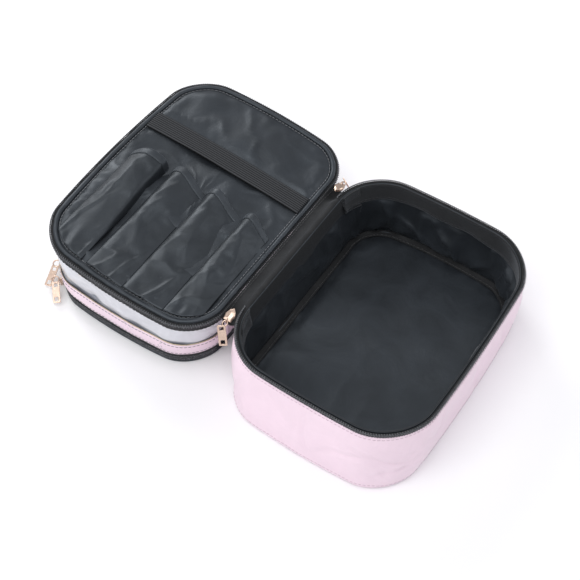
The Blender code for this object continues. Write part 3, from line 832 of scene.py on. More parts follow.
def make_elastic_look(name, colour):
    """Covered rubber ribs crossed by fine knitting. Its colour is painted black in the grooves between the
    ribs and bright on the ribs: painted shade and painted highlight.
    """
    tree, shader, place = new_finish(name, Specular_IOR_Level=0.16)
    run = node(tree, "ShaderNodeSeparateXYZ", {0: run_place(tree)})
    turn = arithmetic(tree, "MULTIPLY", run.outputs[0], 2 * math.pi / RIB_PITCH)
    rib = arithmetic(tree, "MULTIPLY_ADD", arithmetic(tree, "COSINE", turn), -0.8, 0.5, clamp=True)
    knit = placed(tree, "weave", Run=run_place(tree), Threads=1100.0)
    lint = placed(tree, "mottle", Vector=place, Scale=1600.0, Detail=2.0)
    # Painted shade and highlight: black in the grooves, bright on the ribs, standing in for their shading.
    base = blend_colours(tree, rib, shade(colour, 0.0), shade(colour, 4.2))
    base = blend_colours(tree, arithmetic(tree, "MULTIPLY", knit["Shade"], 0.3), base, shade(colour, 4.2))
    tree.links.new(base, shader.inputs["Base Color"])
    tree.links.new(span(tree, lint["Mask"], 0.5, 0.7), shader.inputs["Roughness"])
    normal = bumped(tree, rib, 0.9, 0.0003)
    normal = bumped(tree, knit["Height"], 0.6, 0.0001, normal)
    tree.links.new(normal, shader.inputs["Normal"])


def make_nylon_look(name, colour):
    tree, shader, place = new_finish(name, Specular_IOR_Level=0.7)
    cloud = placed(tree, "mottle", Vector=place, Scale=500.0)
    wear = placed(tree, "wear", Vector=place, Amount=0.8)
    base = blend_colours(tree, cloud["Mask"], shade(colour, 0.8), shade(colour, 1.3))
    base = blend_colours(tree, wear["Edges"], base, shade(colour, 3.0))
    tree.links.new(base, shader.inputs["Base Color"])
    tree.links.new(span(tree, cloud["Mask"], 0.20, 0.32), shader.inputs["Roughness"])
    tree.links.new(bumped(tree, cloud["Height"], 0.3, 0.00005), shader.inputs["Normal"])


def make_thread_look(name, colour):
    tree, shader, place = new_finish(name, Sheen_Weight=0.3, Specular_IOR_Level=0.35)
    fibre = placed(tree, "mottle", Vector=place, Scale=2400.0, Detail=2.0)
    tree.links.new(
        blend_colours(tree, fibre["Mask"], shade(colour, 0.75), shade(colour, 1.2)),
        shader.inputs["Base Color"],
    )
    tree.links.new(span(tree, fibre["Mask"], 0.5, 0.7), shader.inputs["Roughness"])
    tree.links.new(bumped(tree, fibre["Height"], 0.5, 0.00005), shader.inputs["Normal"])


def make_metal_look(name, colour):
    tree, shader, place = new_finish(name, Metallic=1.0)
    wear = placed(tree, "wear", Vector=place, Amount=0.7)
    smear = placed(tree, "mottle", Vector=place, Scale=300.0, Detail=3.0)
    base = blend_colours(tree, wear["Edges"], shade(colour, 1.0), shade(colour, 1.14))
    base = blend_colours(tree, wear["Scuffs"], base, shade(colour, 0.86))
    tree.links.new(base, shader.inputs["Base Color"])
    tree.links.new(span(tree, smear["Mask"], 0.24, 0.36), shader.inputs["Roughness"])
    tree.links.new(bumped(tree, smear["Height"], 0.25, 0.00008), shader.inputs["Normal"])


def make_vinyl_look(name, tint):
    """Clear flexible vinyl, slightly clouded, with painted shade: dark grey and less clear from its foot up
    to a wavy line just above the leather band.
    """
    tree, shader, place = new_finish(name, IOR=1.5, Specular_IOR_Level=0.9)
    run = node(tree, "ShaderNodeSeparateXYZ", {0: run_place(tree)})
    haze = placed(tree, "mottle", Vector=place, Scale=30.0, Swirl=1.5)
    scuff = placed(tree, "wear", Vector=place, Amount=0.5)
    wave = placed(tree, "mottle", Vector=place, Scale=42.0, Detail=0.0, Swirl=0.2)
    # Painted shade: from the foot up to a wavy line the vinyl is painted dark grey and made less clear,
    # standing in for the shadow seen through it.
    crest = span(tree, wave["Mask"], 0.0205, 0.0285)
    depth = arithmetic(tree, "SUBTRACT", crest, run.outputs[1])
    foot = node(tree, "ShaderNodeMapRange", {0: depth, 1: -0.0004, 2: 0.0004})
    wall = node(tree, "ShaderNodeMapRange", {0: run.outputs[1], 1: 0.001, 2: 0.002})
    foot = arithmetic(tree, "MULTIPLY", foot.outputs[0], wall.outputs[0])
    base = blend_colours(tree, haze["Mask"], shade(tint, 0.94), shade(tint, 1.0))
    base = blend_colours(tree, arithmetic(tree, "MULTIPLY", foot, 0.8), base, (0.24, 0.27, 0.32, 1.0))
    tree.links.new(base, shader.inputs["Base Color"])
    solid = arithmetic(tree, "MULTIPLY_ADD", foot, 0.18, 0.64)
    solid = arithmetic(tree, "MULTIPLY_ADD", haze["Mask"], 0.08, solid, clamp=True)
    tree.links.new(solid, shader.inputs["Alpha"])
    rough = arithmetic(tree, "MULTIPLY_ADD", scuff["Scuffs"], 0.10, 0.04)
    tree.links.new(rough, shader.inputs["Roughness"])
    tree.links.new(bumped(tree, haze["Height"], 0.3, 0.0012), shader.inputs["Normal"])


def make_foam_look(name, colour, scale, roughness):
    tree, shader, place = new_finish(name, Specular_IOR_Level=0.2)
    pores = node(tree, "ShaderNodeTexVoronoi", {"Vector": place, "Scale": scale})
    base = blend_colours(tree, pores.outputs["Distance"], shade(colour, 0.7), shade(colour, 1.15))
    tree.links.new(base, shader.inputs["Base Color"])
    cloud = placed(tree, "mottle", Vector=place, Scale=80.0)
    tree.links.new(span(tree, cloud["Mask"], *roughness), shader.inputs["Roughness"])
    tree.links.new(bumped(tree, pores.outputs["Distance"], 0.6, 0.0003), shader.inputs["Normal"])


def make_finishes():
    made = {"weave": make_weave, "grain": make_grain, "mottle": make_mottle, "wear": make_wear}
    for name, maker in made.items():
        EFFECTS[name] = maker()
    chosen = colours()
    leather, lining, tape = tuple(chosen.leather), tuple(chosen.lining), tuple(chosen.tape)
    metal, vinyl = tuple(chosen.metal), tuple(chosen.vinyl)
    make_leather_look("pink leather", leather)
    make_leather_look("flecked leather", leather, (0.30, 0.46), flecks=0.9)
    make_satin_look("lining satin", lining)
    # The pockets' satin is the lining satin made darker: painted shade on the pockets.
    make_satin_look("pocket satin with painted shade", shade(lining, 0.72)[:3])
    make_satin_look("rolled satin", lining, roughness=(0.42, 0.58), sheen=0.15)
    make_tape_look("zipper tape", tape, 900.0, sheen=0.08)
    make_tape_look("grosgrain", tape, 520.0, ribs=2.2, depth=0.00018, roughness=(0.60, 0.80))
    make_elastic_look("elastic", tape)
    make_nylon_look("coil nylon", (0.050, 0.052, 0.057))
    make_thread_look("pink thread", (0.62, 0.47, 0.55))
    make_thread_look("black thread", (0.030, 0.031, 0.034))
    make_thread_look("grey thread", (0.20, 0.205, 0.22))
    make_metal_look("champagne plating", metal)
    make_metal_look("gold edge paint", (0.56, 0.46, 0.34))
    make_vinyl_look("clear vinyl", vinyl)
    make_foam_look("wall foam", (0.30, 0.30, 0.31), 900.0, (0.9, 1.0))
    make_foam_look("stiff board", (0.10, 0.10, 0.10), 2200.0, (0.55, 0.7))


# ---------------------------------------------------------------- lower case

WALL_SPACING = 0.0022
BASE_CORNER = 0.0035
HEM_STITCH_Z = 0.0692


def outward(row, closed=True):
    """Level unit normals of a row, pointing out of the case."""
    tangent = row_tangents(row, closed)
    normal = np.cross(tangent, AXIS_Z)
    return normal / np.linalg.norm(normal, axis=1, keepdims=True)


def outwards(rows, closed=True):
    return np.stack([outward(row, closed) for row in rows])


def make_case_wall():
    """The padded leather shell: swollen walls, a rounded foot and the flat base in one skin."""
    rows = []
    for angle in np.linspace(0, math.pi / 2, 6)[1:]:
        inset = BASE_CORNER * (1 - math.sin(angle))
        rows.append(lower_row(BASE_CORNER * (1 - math.cos(angle)), inset))
    rows += [lower_row(z) for z in np.linspace(BASE_CORNER, WALL_TOP - 0.0006, 34)[1:]]
    rows.append(lower_row(WALL_TOP, 0.0004))
    rows, places = evenly(rows, WALL_SPACING, closed=True)
    out = outwards(rows)
    z = rows[..., 2]
    hump = np.sin(math.pi * np.clip(z / WALL_TOP, 0, 1)) ** 0.8
    soft = ripples(rows, 11, 8, 22, stretch=(1, 1, 1.6)) * 0.55
    fold = creases(rows, 21, 9, 16, (0.8, 0.8, 1.5)) - 0.15
    sag = ripples(rows, 31, 30, 60, 14, (1, 1, 2.2)) * 0.16
    corner = ease(np.abs(rows[..., 0]), 0.075, 0.11) * ease(-rows[..., 1], 0.02, 0.07)
    swell = hump * (sizes().wall_bulge * (1 + soft) + (sag * 0.0018 - fold * 0.0017))
    swell -= corner * creases(rows, 41, 18, 34, (2.5, 2.5, 0.8)) * hump * 0.0019
    hem = np.exp(-(((z - HEM_STITCH_Z) / 0.0009) ** 2))
    swell = np.clip(swell, -0.0002, None) * ease(z, 0.0, 0.006) - hem * 0.00025
    rows = rows + out * swell[..., None]
    foot = rows[0]
    middle = foot.mean(0)
    floor = [middle + (foot - middle) * part for part in (0.02, 0.3, 0.6, 0.8, 0.92, 0.98)]
    for row in floor:
        row[:, 2] = 0.0
    rows = np.concatenate((floor, rows))
    piece = cloth_piece("case_wall", rows, LOOKS["pink leather"], 0.0012, places, closed=True)
    piece.data.flip_normals()
    close_middle(piece, rows.shape[1])
    finish_piece(piece, "lower_case", "pink_leather", "lower_wall", "lower_base")
    return rows


def close_middle(piece, count):
    """Fills the small hole left in the middle of a base made of shrinking rings."""
    mesh = piece.data
    faces = [list(face.vertices) for face in mesh.polygons] + [list(range(count))]
    points = coords(mesh)
    run = np.zeros(len(points) * 3, np.float32)
    mesh.attributes["run"].data.foreach_get("vector", run)
    made = bpy.data.meshes.new(mesh.name)
    made.from_pydata(points.tolist(), [], faces)
    layer = made.attributes.new("run", "FLOAT_VECTOR", "POINT")
    layer.data.foreach_set("vector", run)
    made.materials.append(mesh.materials[0])
    made.shade_smooth()
    piece.data = made
    consistent(piece)


def consistent(piece):
    """Makes neighbouring faces agree, and face outwards or upwards."""
    work = bmesh.new()
    work.from_mesh(piece.data)
    bmesh.ops.recalc_face_normals(work, faces=work.faces)
    work.to_mesh(piece.data)
    work.free()


def read_row(rows, z):
    """A wall's own surface at a height: the swollen row that is there."""
    heights = rows[:, :, 2].mean(1)
    index = int(np.argmin(np.abs(heights - z)))
    return rows[index]


# Rows of stitches round the wall: name, height, lift off the leather, thickness of the thread.
WALL_STITCHES = (
    ("wall_hem_stitches", HEM_STITCH_Z, 0.00005, 0.00022),
    ("wall_foot_stitches", 0.0052, 0.00003, 0.00020),
)


def make_wall_stitches(rows):
    for name, z, lift, radius in WALL_STITCHES:
        line = read_row(rows[8:], z)
        normals = outward(line)
        thread = stitches(line + normals * lift, normals, radius, closed=True)
        sew(name, thread, "pink thread", "lower_case", "pink_leather")


RIM_TAPE_PROFILE = (
    (0.00125, 0.0700),
    (0.00045, 0.0722),
    (0.0004, 0.0732),
    (0.0009, 0.0738),
    (0.0020, 0.0737),
    (0.0030, 0.0732),
    (0.0038, 0.0722),
    (0.0042, 0.0706),
)
RIM_COIL_LEAN = 0.8
RIM_COIL_INSET = 0.0003
RIM_COIL_Z = 0.0742


def make_rim_zipper():
    """The lower half of the main zipper: tape out of the hem, coil sewn along its edge."""
    rows = [three_sides(lower_row(z, inset)) for inset, z in RIM_TAPE_PROFILE]
    rows, places = evenly(rows, 0.0016)
    piece = cloth_piece("rim_tape", rows, LOOKS["zipper tape"], 0.00045, places)
    finish_piece(piece, "lower_case", "black_tape", "lower_zipper_tape")
    path, _ = evenly([three_sides(lower_row(RIM_COIL_Z, RIM_COIL_INSET))], 0.002)
    path = path[0]
    lean = outward(path, False) + AXIS_Z * RIM_COIL_LEAN
    lean /= np.linalg.norm(lean, axis=1, keepdims=True)
    piece = coil_piece("rim_coil", path, lean, COIL_SHOWN_R, LOOKS["coil nylon"])
    finish_piece(piece, "lower_case", "black_nylon", "lower_zipper_coil")


def make_rim_band():
    """Grosgrain facing inside the rim: its lower edge is free and waves."""
    depths = np.linspace(0.0555, 0.0738, 14)
    rows = [three_sides(lower_row(z, BAND_INSET)) for z in depths]
    rows, places = evenly(rows, 0.0022)
    inward = -outwards(rows, False)
    free = ease(-rows[..., 2], -0.0710, -0.0560)
    wave = ripples(rows, 51, 14, 30, stretch=(1, 1, 3))
    small = ripples(rows, 52, 50, 80, stretch=(1, 1, 3))
    shift = free * (0.0019 + 0.0019 * wave + 0.0006 * small)
    rows = rows + inward * np.clip(shift, 0.0, 0.0055)[..., None]
    rows[..., 2] += free * (0.0018 * ripples(rows, 53, 12, 26, stretch=(1, 1, 4)) + 0.0008)
    rows[..., 2] += 0.0003 * small * free
    piece = cloth_piece("rim_band", rows, LOOKS["grosgrain"], 0.0006, places)
    finish_piece(piece, "lower_case", "black_tape", "lower_rim_band")
    line = rows[2]
    normals = -outward(line, False)
    thread = stitches(line + normals * 0.0006, normals, 0.0002)
    line = rows[-2]
    thread += stitches(line + normals * 0.0006, normals, 0.0002)
    sew("rim_band_stitches", thread, "black thread", "lower_case", "black_tape")


def make_lining():
    """Satin lining of the walls, cut larger than the wall and folding under the facing."""
    depths = np.linspace(0.0042, LINING_TOP, 34)
    rows = [lower_row(z, LINING_INSET) for z in depths]
    rows, places = evenly(rows, 0.0025, closed=True)
    flat = rows
    inward = -outwards(rows)
    x, y, z = rows[..., 0], rows[..., 1], rows[..., 2]
    loose = ease(z, 0.006, 0.020) * ease(-z, -0.0575, -0.050)
    far = ease(x, 0.02, 0.10)
    hinge = ease(y, 0.075, 0.088)
    front = ease(-y, 0.06, 0.085)
    amount = loose * (0.35 + 1.0 * far + 0.5 * front) * (1 - 0.55 * hinge)
    upright = creases(rows, 61, 14, 26, (1.0, 1.0, 3.2))
    slant = creases(rows + AXIS_X * z[..., None] * 0.7, 65, 10, 18, (1, 1, 1.6))
    puff = 0.5 + 0.5 * ripples(rows, 63, 12, 24, stretch=(1, 1, 1.5))
    shift = amount * (0.0030 * upright + 0.0022 * slant + 0.0028 * puff)
    shift += hinge * loose * (0.0016 * creases(rows + AXIS_X * z[..., None], 67, 9, 14) + 0.0006)
    rows = rows + inward * shift[..., None]
    rows[..., 2] -= 0.0012 * amount * upright
    piece = cloth_piece("case_lining", rows, LOOKS["lining satin"], 0.0005, places, closed=True, offset=0.0)
    held = np.clip(ease(z, 0.0545, 0.060) + ease(-z, -0.0075, -0.0045), 0, 1).ravel()
    settle(piece, held, sizes().lining_slack, 0.0045, bending=1.2)
    keep_inside(piece, flat, inward)
    finish_piece(piece, "lower_case", "black_satin", "lower_lining")


LINING_CLEAR = 0.0004


def keep_inside(piece, flat, inward):
    """Keeps the settled lining clear of the foam behind it."""
    points = coords(piece.data).reshape(flat.shape)
    depth = ((points - flat) * inward).sum(-1)
    short = np.clip(LINING_CLEAR - depth, 0, None)
    put(piece.data, (points + inward * short[..., None]).reshape(-1, 3))


PAD_RINGS = 30
# The strip over the floor's seam: further in from the wall, height over the floor.
FLOOR_STRIP = (
    (0.0001, 0.0042),
    (0.0010, 0.0040),
    (0.0022, 0.0032),
    (0.0034, 0.0026),
    (0.0048, 0.0024),
    (0.0062, 0.0018),
)


def pad_piece(name, points, look, body_drop):
    """A pad: its top skin with a skirt that turns under at its edge."""
    skirt = [points[0] + drop for drop in body_drop]
    rows = np.concatenate((skirt, points))
    faces = grid_faces(len(rows), rows.shape[1], closed=True)
    faces.append(list(range((len(rows) - 1) * rows.shape[1], len(rows) * rows.shape[1])))
    faces.append(list(range(rows.shape[1]))[::-1])
    run = np.zeros(rows.shape)
    run[..., 0] = rows[..., 0]
    run[..., 1] = rows[..., 1]
    piece = link_piece(name, rows, faces, look, run)
    consistent(piece)
    return piece


def make_floor_pad():
    """The padded floor, its seam along the walls, and the welt that covers the seam."""
    rings = filled_outline(lower_row(FLOOR_TOP, BAND_INSET + 0.0002)[:, :2], 0.0032, PAD_RINGS)
    edge = np.linalg.norm(rings - rings[:1], axis=-1)
    points = np.concatenate((rings, np.full((*rings.shape[:2], 1), FLOOR_TOP)), -1)
    inner = ease(edge, 0.0, 0.018)
    height = 0.0014 * inner + 0.0013 * inner * ripples(points, 71, 5, 13)
    height += 0.0003 * inner * ripples(points, 72, 20, 38)
    folds = creases(points, 74, 6, 12, (1.6, 0.8, 1)) * ease(-points[..., 0], -0.05, 0.06)
    height += 0.0007 * inner * folds
    height += 0.0008 * (1 - inner) * ease(edge, 0.0, 0.003) * ripples(points, 73, 60, 110)
    points[..., 2] += height
    drops = [np.array((0, 0, -0.0016)), np.array((0, 0, -0.0006))]
    piece = pad_piece("floor_padding", points, LOOKS["lining satin"], drops)
    finish_piece(piece, "lower_case", "black_satin", "floor_pad")
    welt, _ = evenly([lower_row(FLOOR_TOP + 0.0018, BAND_INSET + 0.0012)], 0.003, closed=True)
    piece = tube_piece("floor_welt", welt[0], 0.0013, LOOKS["rolled satin"], closed=True)
    finish_piece(piece, "lower_case", "black_nylon", "floor_piping")
    strip = [lower_row(FLOOR_TOP + lift, BAND_INSET + inset) for inset, lift in FLOOR_STRIP]
    strip, places = evenly(strip, 0.0026, closed=True)
    strip[..., 2] += 0.0004 * ripples(strip, 75, 20, 50)
    piece = cloth_piece("floor_strip", strip, LOOKS["zipper tape"], 0.0005, places, closed=True)
    finish_piece(piece, "lower_case", "black_tape")
    line = strip[-2]
    normals = np.broadcast_to(AXIS_Z, line.shape)
    thread = stitches(line + normals * 0.0002, normals, 0.00022, closed=True)
    sew("floor_strip_stitches", thread, "black thread", "lower_case", "black_tape")


TAB_FOOT = 0.0520
TAB_CURL = 0.0016


def make_tape_ends():
    """The ends of the main zipper's tape, folded down inside the two corners by the hinge."""
    for side in ("left", "right"):
        rows = [three_sides(lower_row(z, TAB_INSET)) for z in np.linspace(TAB_FOOT, 0.0738, 16)]
        rows, places = evenly(rows, 0.0011)
        count = int(0.0225 / 0.0011)
        cut = rows[:, 2:count] if side == "left" else rows[:, -count:-2]
        inward = -outwards(cut, False)
        low = ease(-cut[..., 2], -0.066, -TAB_FOOT)
        curl = TAB_CURL * low**2 * (0.6 + 0.6 * ripples(cut, 81, 30, 60))
        cut = cut + inward * curl[..., None]
        piece = cloth_piece(f"tape_tab_{side}", cut, LOOKS["grosgrain"], 0.0009, places[: cut.shape[1]])
        finish_piece(piece, "lower_case", "black_tape", f"tape_end_{side}")
        edge = np.concatenate((cut[1:-1, 2][::-1], cut[1, 2:-2], cut[1:-1, -3]))
        normals = np.broadcast_to(inward.mean((0, 1)), edge.shape)
        thread = stitches(edge + normals * 0.0009, normals, 0.0002, length=0.002)
        sew(f"tape_tab_{side}_stitches", thread, "black thread", "lower_case", "black_tape")


GUSSET_STEPS = 40


def make_gusset_seams():
    """The curved seams where the hinge wall's lining meets the sides, one at each end."""
    for name, sign in (("left", -1), ("right", 1)):
        part = np.linspace(0, 1, GUSSET_STEPS)
        height = 0.060 - 0.051 * part
        spots = []
        for step, z in zip(part, height):
            row = three_sides(lower_row(float(z), LINING_INSET + 0.0012))
            run = running(row)
            along = 0.026 - 0.012 * math.sin(math.pi * 0.5 * step)
            along = along if sign < 0 else run[-1] - along
            spots.append([np.interp(along, run, row[:, k]) for k in range(3)])
        path = np.array(spots)
        middle = np.array((0.0, 0.0, 0.04))
        inward = middle - path
        inward[:, 2] = 0
        inward /= np.linalg.norm(inward, axis=1, keepdims=True)
        path = path + inward * 0.0004
        piece = tube_piece(
            f"gusset_seam_{name}",
            path,
            0.0011,
            LOOKS["rolled satin"],
            8,
            normals=inward,
            flat=0.7,
        )
        finish_piece(piece, "lower_case", "black_satin")
        thread = stitches(path + inward * 0.0008, inward, 0.0002)
        sew(f"gusset_stitches_{name}", thread, "black thread", "lower_case", "black_satin")


HINGE_ROWS = 22
HINGE_REACH = 0.0912
# Up the inside of the wall and over its top: depth into the wall, height.
HINGE_INNER_ROWS = (
    (0.0060, 0.0500),
    (0.0060, 0.0600),
    (0.0058, 0.0680),
    (0.0052, 0.0722),
    (0.0040, 0.0743),
    (0.0020, 0.0750),
)


def make_hinge_cloth():
    """The cloth of the valley between the two boxes, which on the real case bends when it is closed; here
    it is built in its open shape. It comes up the inside of the lower wall, over its top and across to the
    compartment."""
    x = np.linspace(-HINGE_REACH, HINGE_REACH, 90)
    rim_corner = RIM[0] / 2 - RIM[2]
    over = np.clip(np.abs(x) - rim_corner, 0, RIM[2] - 0.001)
    arc = np.sqrt(RIM[2] ** 2 - over**2)
    near = RIM[1] / 2 - RIM[2] + arc + 0.0002
    far = np.full(x.shape, PANEL_Y - 0.0008)
    ends = ease(np.abs(x), 0.066, 0.082)
    normal_y = arc / RIM[2]
    rows = []
    for inset, z in HINGE_INNER_ROWS:
        lean = (LOWER_HEIGHT - z) * (RIM[1] - BASE[1]) / 2 / LOWER_HEIGHT
        y = near - (inset + lean) / normal_y.clip(0.5)
        rows.append(np.column_stack((x, y, z - ends * 0.0012 * (z > 0.07))))
    across = len(rows)
    for part in np.linspace(0, 1, HINGE_ROWS):
        y = near + (far - near) * part
        z = 0.0742 - 0.0062 * part - ends * 0.0052 * (1 - part)
        z = z - (0.0030 + 0.0030 * ends) * math.sin(math.pi * part)
        rows.append(np.column_stack((x, y, z)))
    rows = np.array(rows)
    loose = np.concatenate((np.zeros(across), np.sin(math.pi * np.linspace(0, 1, HINGE_ROWS))))[:, None]
    rows[..., 2] += loose * 0.0008 * ripples(rows, 91, 25, 60, stretch=(1, 3, 1))
    places = x - x[0]
    piece = cloth_piece("hinge_cloth", rows, LOOKS["zipper tape"], 0.0010, places)
    finish_piece(piece, None, "black_tape", "hinge_cloth_lower", "hinge_cloth_upper")
    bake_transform(piece)
    line = rows[-4]
    normals = grid_normals(rows)[-4]
    normals = normals * np.sign(normals[:, 2:3])
    thread = stitches(line + normals * 0.0001, normals, 0.00022)
    piece = sew("hinge_stitches", thread, "black thread", None, "black_tape")
    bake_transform(piece)


class TrainCaseLower(bpy.types.Operator):
    """Build the leather walls of the lower case, with their stitches, foam and board"""

    bl_idname = "train_case.lower_walls"
    bl_label = "Lower walls"

    def execute(self, context):
        rows = make_case_wall()
        make_wall_stitches(rows)
        dress_node("lower_foam", "wall foam")
        dress_node("base_board", "stiff board")
        return {"FINISHED"}


class TrainCaseRim(bpy.types.Operator):
    """Build the rim of the lower case: zipper, facing and the folded ends of the tape"""

    bl_idname = "train_case.rim"
    bl_label = "Rim"

    def execute(self, context):
        make_rim_zipper()
        make_rim_band()
        make_tape_ends()
        return {"FINISHED"}


class TrainCaseLining(bpy.types.Operator):
    """Build the lining, the padded floor and their seams"""

    bl_idname = "train_case.lining"
    bl_label = "Lining and floor"

    def execute(self, context):
        make_lining()
        make_floor_pad()
        make_gusset_seams()
        return {"FINISHED"}


class TrainCaseHinge(bpy.types.Operator):
    """Build the cloth that joins the two boxes"""

    bl_idname = "train_case.hinge"
    bl_label = "Hinge cloth"

    def execute(self, context):
        make_hinge_cloth()
        return {"FINISHED"}


def dress_node(name, look):
    """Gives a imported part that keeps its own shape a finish."""
    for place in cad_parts[name].material_slots:
        place.material = LOOKS[look]


# ---------------------------------------------------------------- upper compartment


def upper_paths(insets_and_drops, spacing):
    """Closed rows round the compartment, each at its depth into the wall and under the panel."""
    rows = [panel_row(inset, drop) for inset, drop in insets_and_drops]
    return evenly(rows, spacing, closed=True)


UPPER_TAPE_PROFILE = (
    (0.0030, 0.0118),
    (0.0006, 0.0116),
    (0.0003, 0.0100),
    (0.0003, 0.0060),
    (0.0004, 0.0036),
    (0.0008, 0.0027),
    (0.0018, 0.0024),
    (0.0032, 0.0026),
)
UPPER_COIL = (0.0000, 0.0032)
UPPER_COIL_LEAN = 0.5
ROLL_HALF = 0.0022
ROLL_INSET = 0.0051
ROLL_DROP = 0.0020


def make_panel_edge():
    """The compartment's rim: coil, tape, the rolled satin edge and the seam round the panel."""
    rows, places = upper_paths(UPPER_TAPE_PROFILE, 0.002)
    out = outwards(rows)
    rows = rows + out * (0.00025 * ripples(rows, 101, 30, 70))[..., None]
    piece = cloth_piece("panel_tape", rows, LOOKS["zipper tape"], 0.0007, places, closed=True)
    finish_piece(piece, "upper_case", "black_tape", "upper_zipper_tape")
    path, _ = upper_paths([UPPER_COIL], 0.002)
    path = path[0]
    lean = outward(path) + PANEL_NORMAL * UPPER_COIL_LEAN
    lean /= np.linalg.norm(lean, axis=1, keepdims=True)
    piece = coil_piece("panel_coil", path, lean, COIL_SHOWN_R, LOOKS["coil nylon"], closed=True)
    finish_piece(piece, "upper_case", "black_nylon", "upper_zipper_coil")
    path, _ = upper_paths([(ROLL_INSET, ROLL_DROP)], 0.0024)
    path = path[0]
    path = path + PANEL_NORMAL * (0.00022 * ripples(path, 102, 25, 60))[:, None]
    angles = np.linspace(0, 2 * math.pi, 15)[:-1]
    profile = np.stack((np.sin(angles) * 0.0017, np.cos(angles) * ROLL_HALF), 1)
    profile[:, 0] = np.where(profile[:, 0] < 0, profile[:, 0] * 0.5, profile[:, 0])
    size = 1 + 0.07 * ripples(path, 103, 60, 120)
    normals = np.broadcast_to(PANEL_NORMAL, path.shape)
    verts, faces, run = swept(path, normals, profile * size[:, None, None], closed=True)
    piece = link_piece("panel_roll", verts, faces, LOOKS["rolled satin"], run)
    face_out(piece)
    finish_piece(piece, "upper_case", "black_tape", "panel_binding")
    seam, _ = upper_paths([(PANEL_INSET + 0.0014, PANEL_RECESS)], 0.002)
    normals = np.broadcast_to(PANEL_NORMAL, seam[0].shape)
    thread = stitches(seam[0] + normals * 0.0005, normals, 0.00026, closed=True)
    sew("panel_seam_stitches", thread, "grey thread", "upper_case", "black_satin")
    outer, _ = upper_paths([(0.00012, 0.0105)], 0.002)
    normals = outward(outer[0])
    thread = stitches(outer[0] + normals * 0.0001, normals, 0.0002, closed=True)
    sew("panel_tape_stitches", thread, "black thread", "upper_case", "black_tape")


def make_panel_pad():
    """The brush panel's padding: satin drawn over a thin pad, pulled in at its seam."""
    rings = filled_outline(panel_flat(PANEL_INSET - 0.0002), 0.0030, PAD_RINGS)
    x, y = rings[..., 0], rings[..., 1]
    edge = np.linalg.norm(rings - rings[:1], axis=-1)
    flat_points = np.stack((x, y, np.zeros(x.shape)), -1)
    inner = ease(edge, 0.001, 0.012)
    soft = ripples(flat_points, 111, 9, 22)
    folds = creases(flat_points, 113, 10, 20)
    height = inner * (0.0010 + 0.0018 * soft + 0.0016 * folds)
    groove = np.exp(-(((edge - 0.0013) / 0.0012) ** 2))
    pucker = ease(edge, 0.001, 0.004) * ease(-edge, -0.016, -0.004)
    height += 0.0007 * pucker * ripples(flat_points, 115, 60, 110)
    height -= 0.0004 * groove
    press = ease(x, ELASTIC_X[0] - 0.006, ELASTIC_X[0]) * ease(-x, -ELASTIC_X[1] - 0.006, -ELASTIC_X[1])
    height = height * (1 - press) + np.minimum(height, 0.0002) * press
    points = on_panel(x, y, -PANEL_RECESS + height)
    drops = [PANEL_NORMAL * -0.0022, PANEL_NORMAL * -0.0008]
    piece = pad_piece("panel_padding", points, LOOKS["lining satin"], drops)
    held = np.ones((PAD_RINGS + 2, points.shape[1]))
    held[2:] = np.maximum(1 - ease(edge, 0.002, 0.010), press)
    settle(piece, held.ravel(), 0.014, 0.0022, bending=2.0)
    finish_piece(piece, "upper_case", "black_satin", "brush_panel")
    dress_node("panel_board", "stiff board")


RIB_PITCH = 0.02 / 9
RIB_DEPTH = 0.00045


def make_elastic():
    """Woven elastic band across the panel, sewn under the seam at both ends, with raised ribs."""
    low, high = panel_reach((ELASTIC_X[0] + ELASTIC_X[1]) / 2, PANEL_INSET + 0.0010)
    x = np.linspace(*ELASTIC_X, 57)
    y = np.linspace(low, high, 110)
    grid_y, grid_x = np.meshgrid(y, x, indexing="ij")
    part = (grid_y - low) / (high - low)
    flat_points = np.stack((grid_x, grid_y, np.zeros(grid_x.shape)), -1)
    lift = 0.0026 * np.sin(math.pi * part) ** 0.6 + 0.0005 * ripples(flat_points, 121, 9, 18)
    rib = 0.5 - 0.5 * np.cos(2 * math.pi * (grid_x - ELASTIC_X[0]) / RIB_PITCH)
    knit = 0.5 + 0.5 * np.cos(2 * math.pi * grid_y / 0.0031)
    edge = np.minimum(grid_x - ELASTIC_X[0], ELASTIC_X[1] - grid_x)
    height = -0.0013 + lift + RIB_DEPTH * rib * (0.75 + 0.25 * knit) - 0.0004 * np.exp(-edge / 0.0006)
    narrow = 1 - 0.012 * np.sin(math.pi * part)
    middle = sum(ELASTIC_X) / 2
    points = on_panel(middle + (grid_x - middle) * narrow, grid_y, height)
    piece = cloth_piece("elastic_strap", points, LOOKS["elastic"], 0.0008, x - x[0])
    piece.data.flip_normals()
    finish_piece(piece, "upper_case", "black_tape", "elastic_band")


def panel_reach(x, inset):
    """How far the panel reaches along y at this x, for an inset."""
    flat = panel_flat(inset)
    order = np.argsort(flat[:, 0])
    near = flat[order]
    low = near[near[:, 1] < PANEL[1] / 2]
    high = near[near[:, 1] >= PANEL[1] / 2]
    return float(np.interp(x, low[:, 0], low[:, 1])), float(np.interp(x, high[:, 0], high[:, 1]))


def panel_left(y, inset):
    """Where the panel's left edge is at this y, for an inset."""
    flat = panel_flat(inset)
    left = flat[flat[:, 0] < 0]
    order = np.argsort(left[:, 1])
    return np.interp(y, left[order, 1], left[order, 0])


# Each pocket from the outer end of the panel to the hinge: its two seams, its mouth at those
# seams, where its crest runs, its height and how far its hinge-side edge stands open.
POCKETS = (
    (0.1705, 0.1330, 0.0070, 0.0120, 0.46, 1.00, 0.0034),
    (0.1270, 0.0865, 0.0150, 0.0075, 0.70, 0.92, 0.0006),
    (0.0860, 0.0440, 0.0125, 0.0045, 0.72, 1.00, 0.0006),
    (0.0435, 0.0125, 0.0085, 0.0020, 0.68, 0.95, 0.0006),
)
POCKET_ROWS = 74
POCKET_COLUMNS = 40
HEM_DEPTH = 0.0052


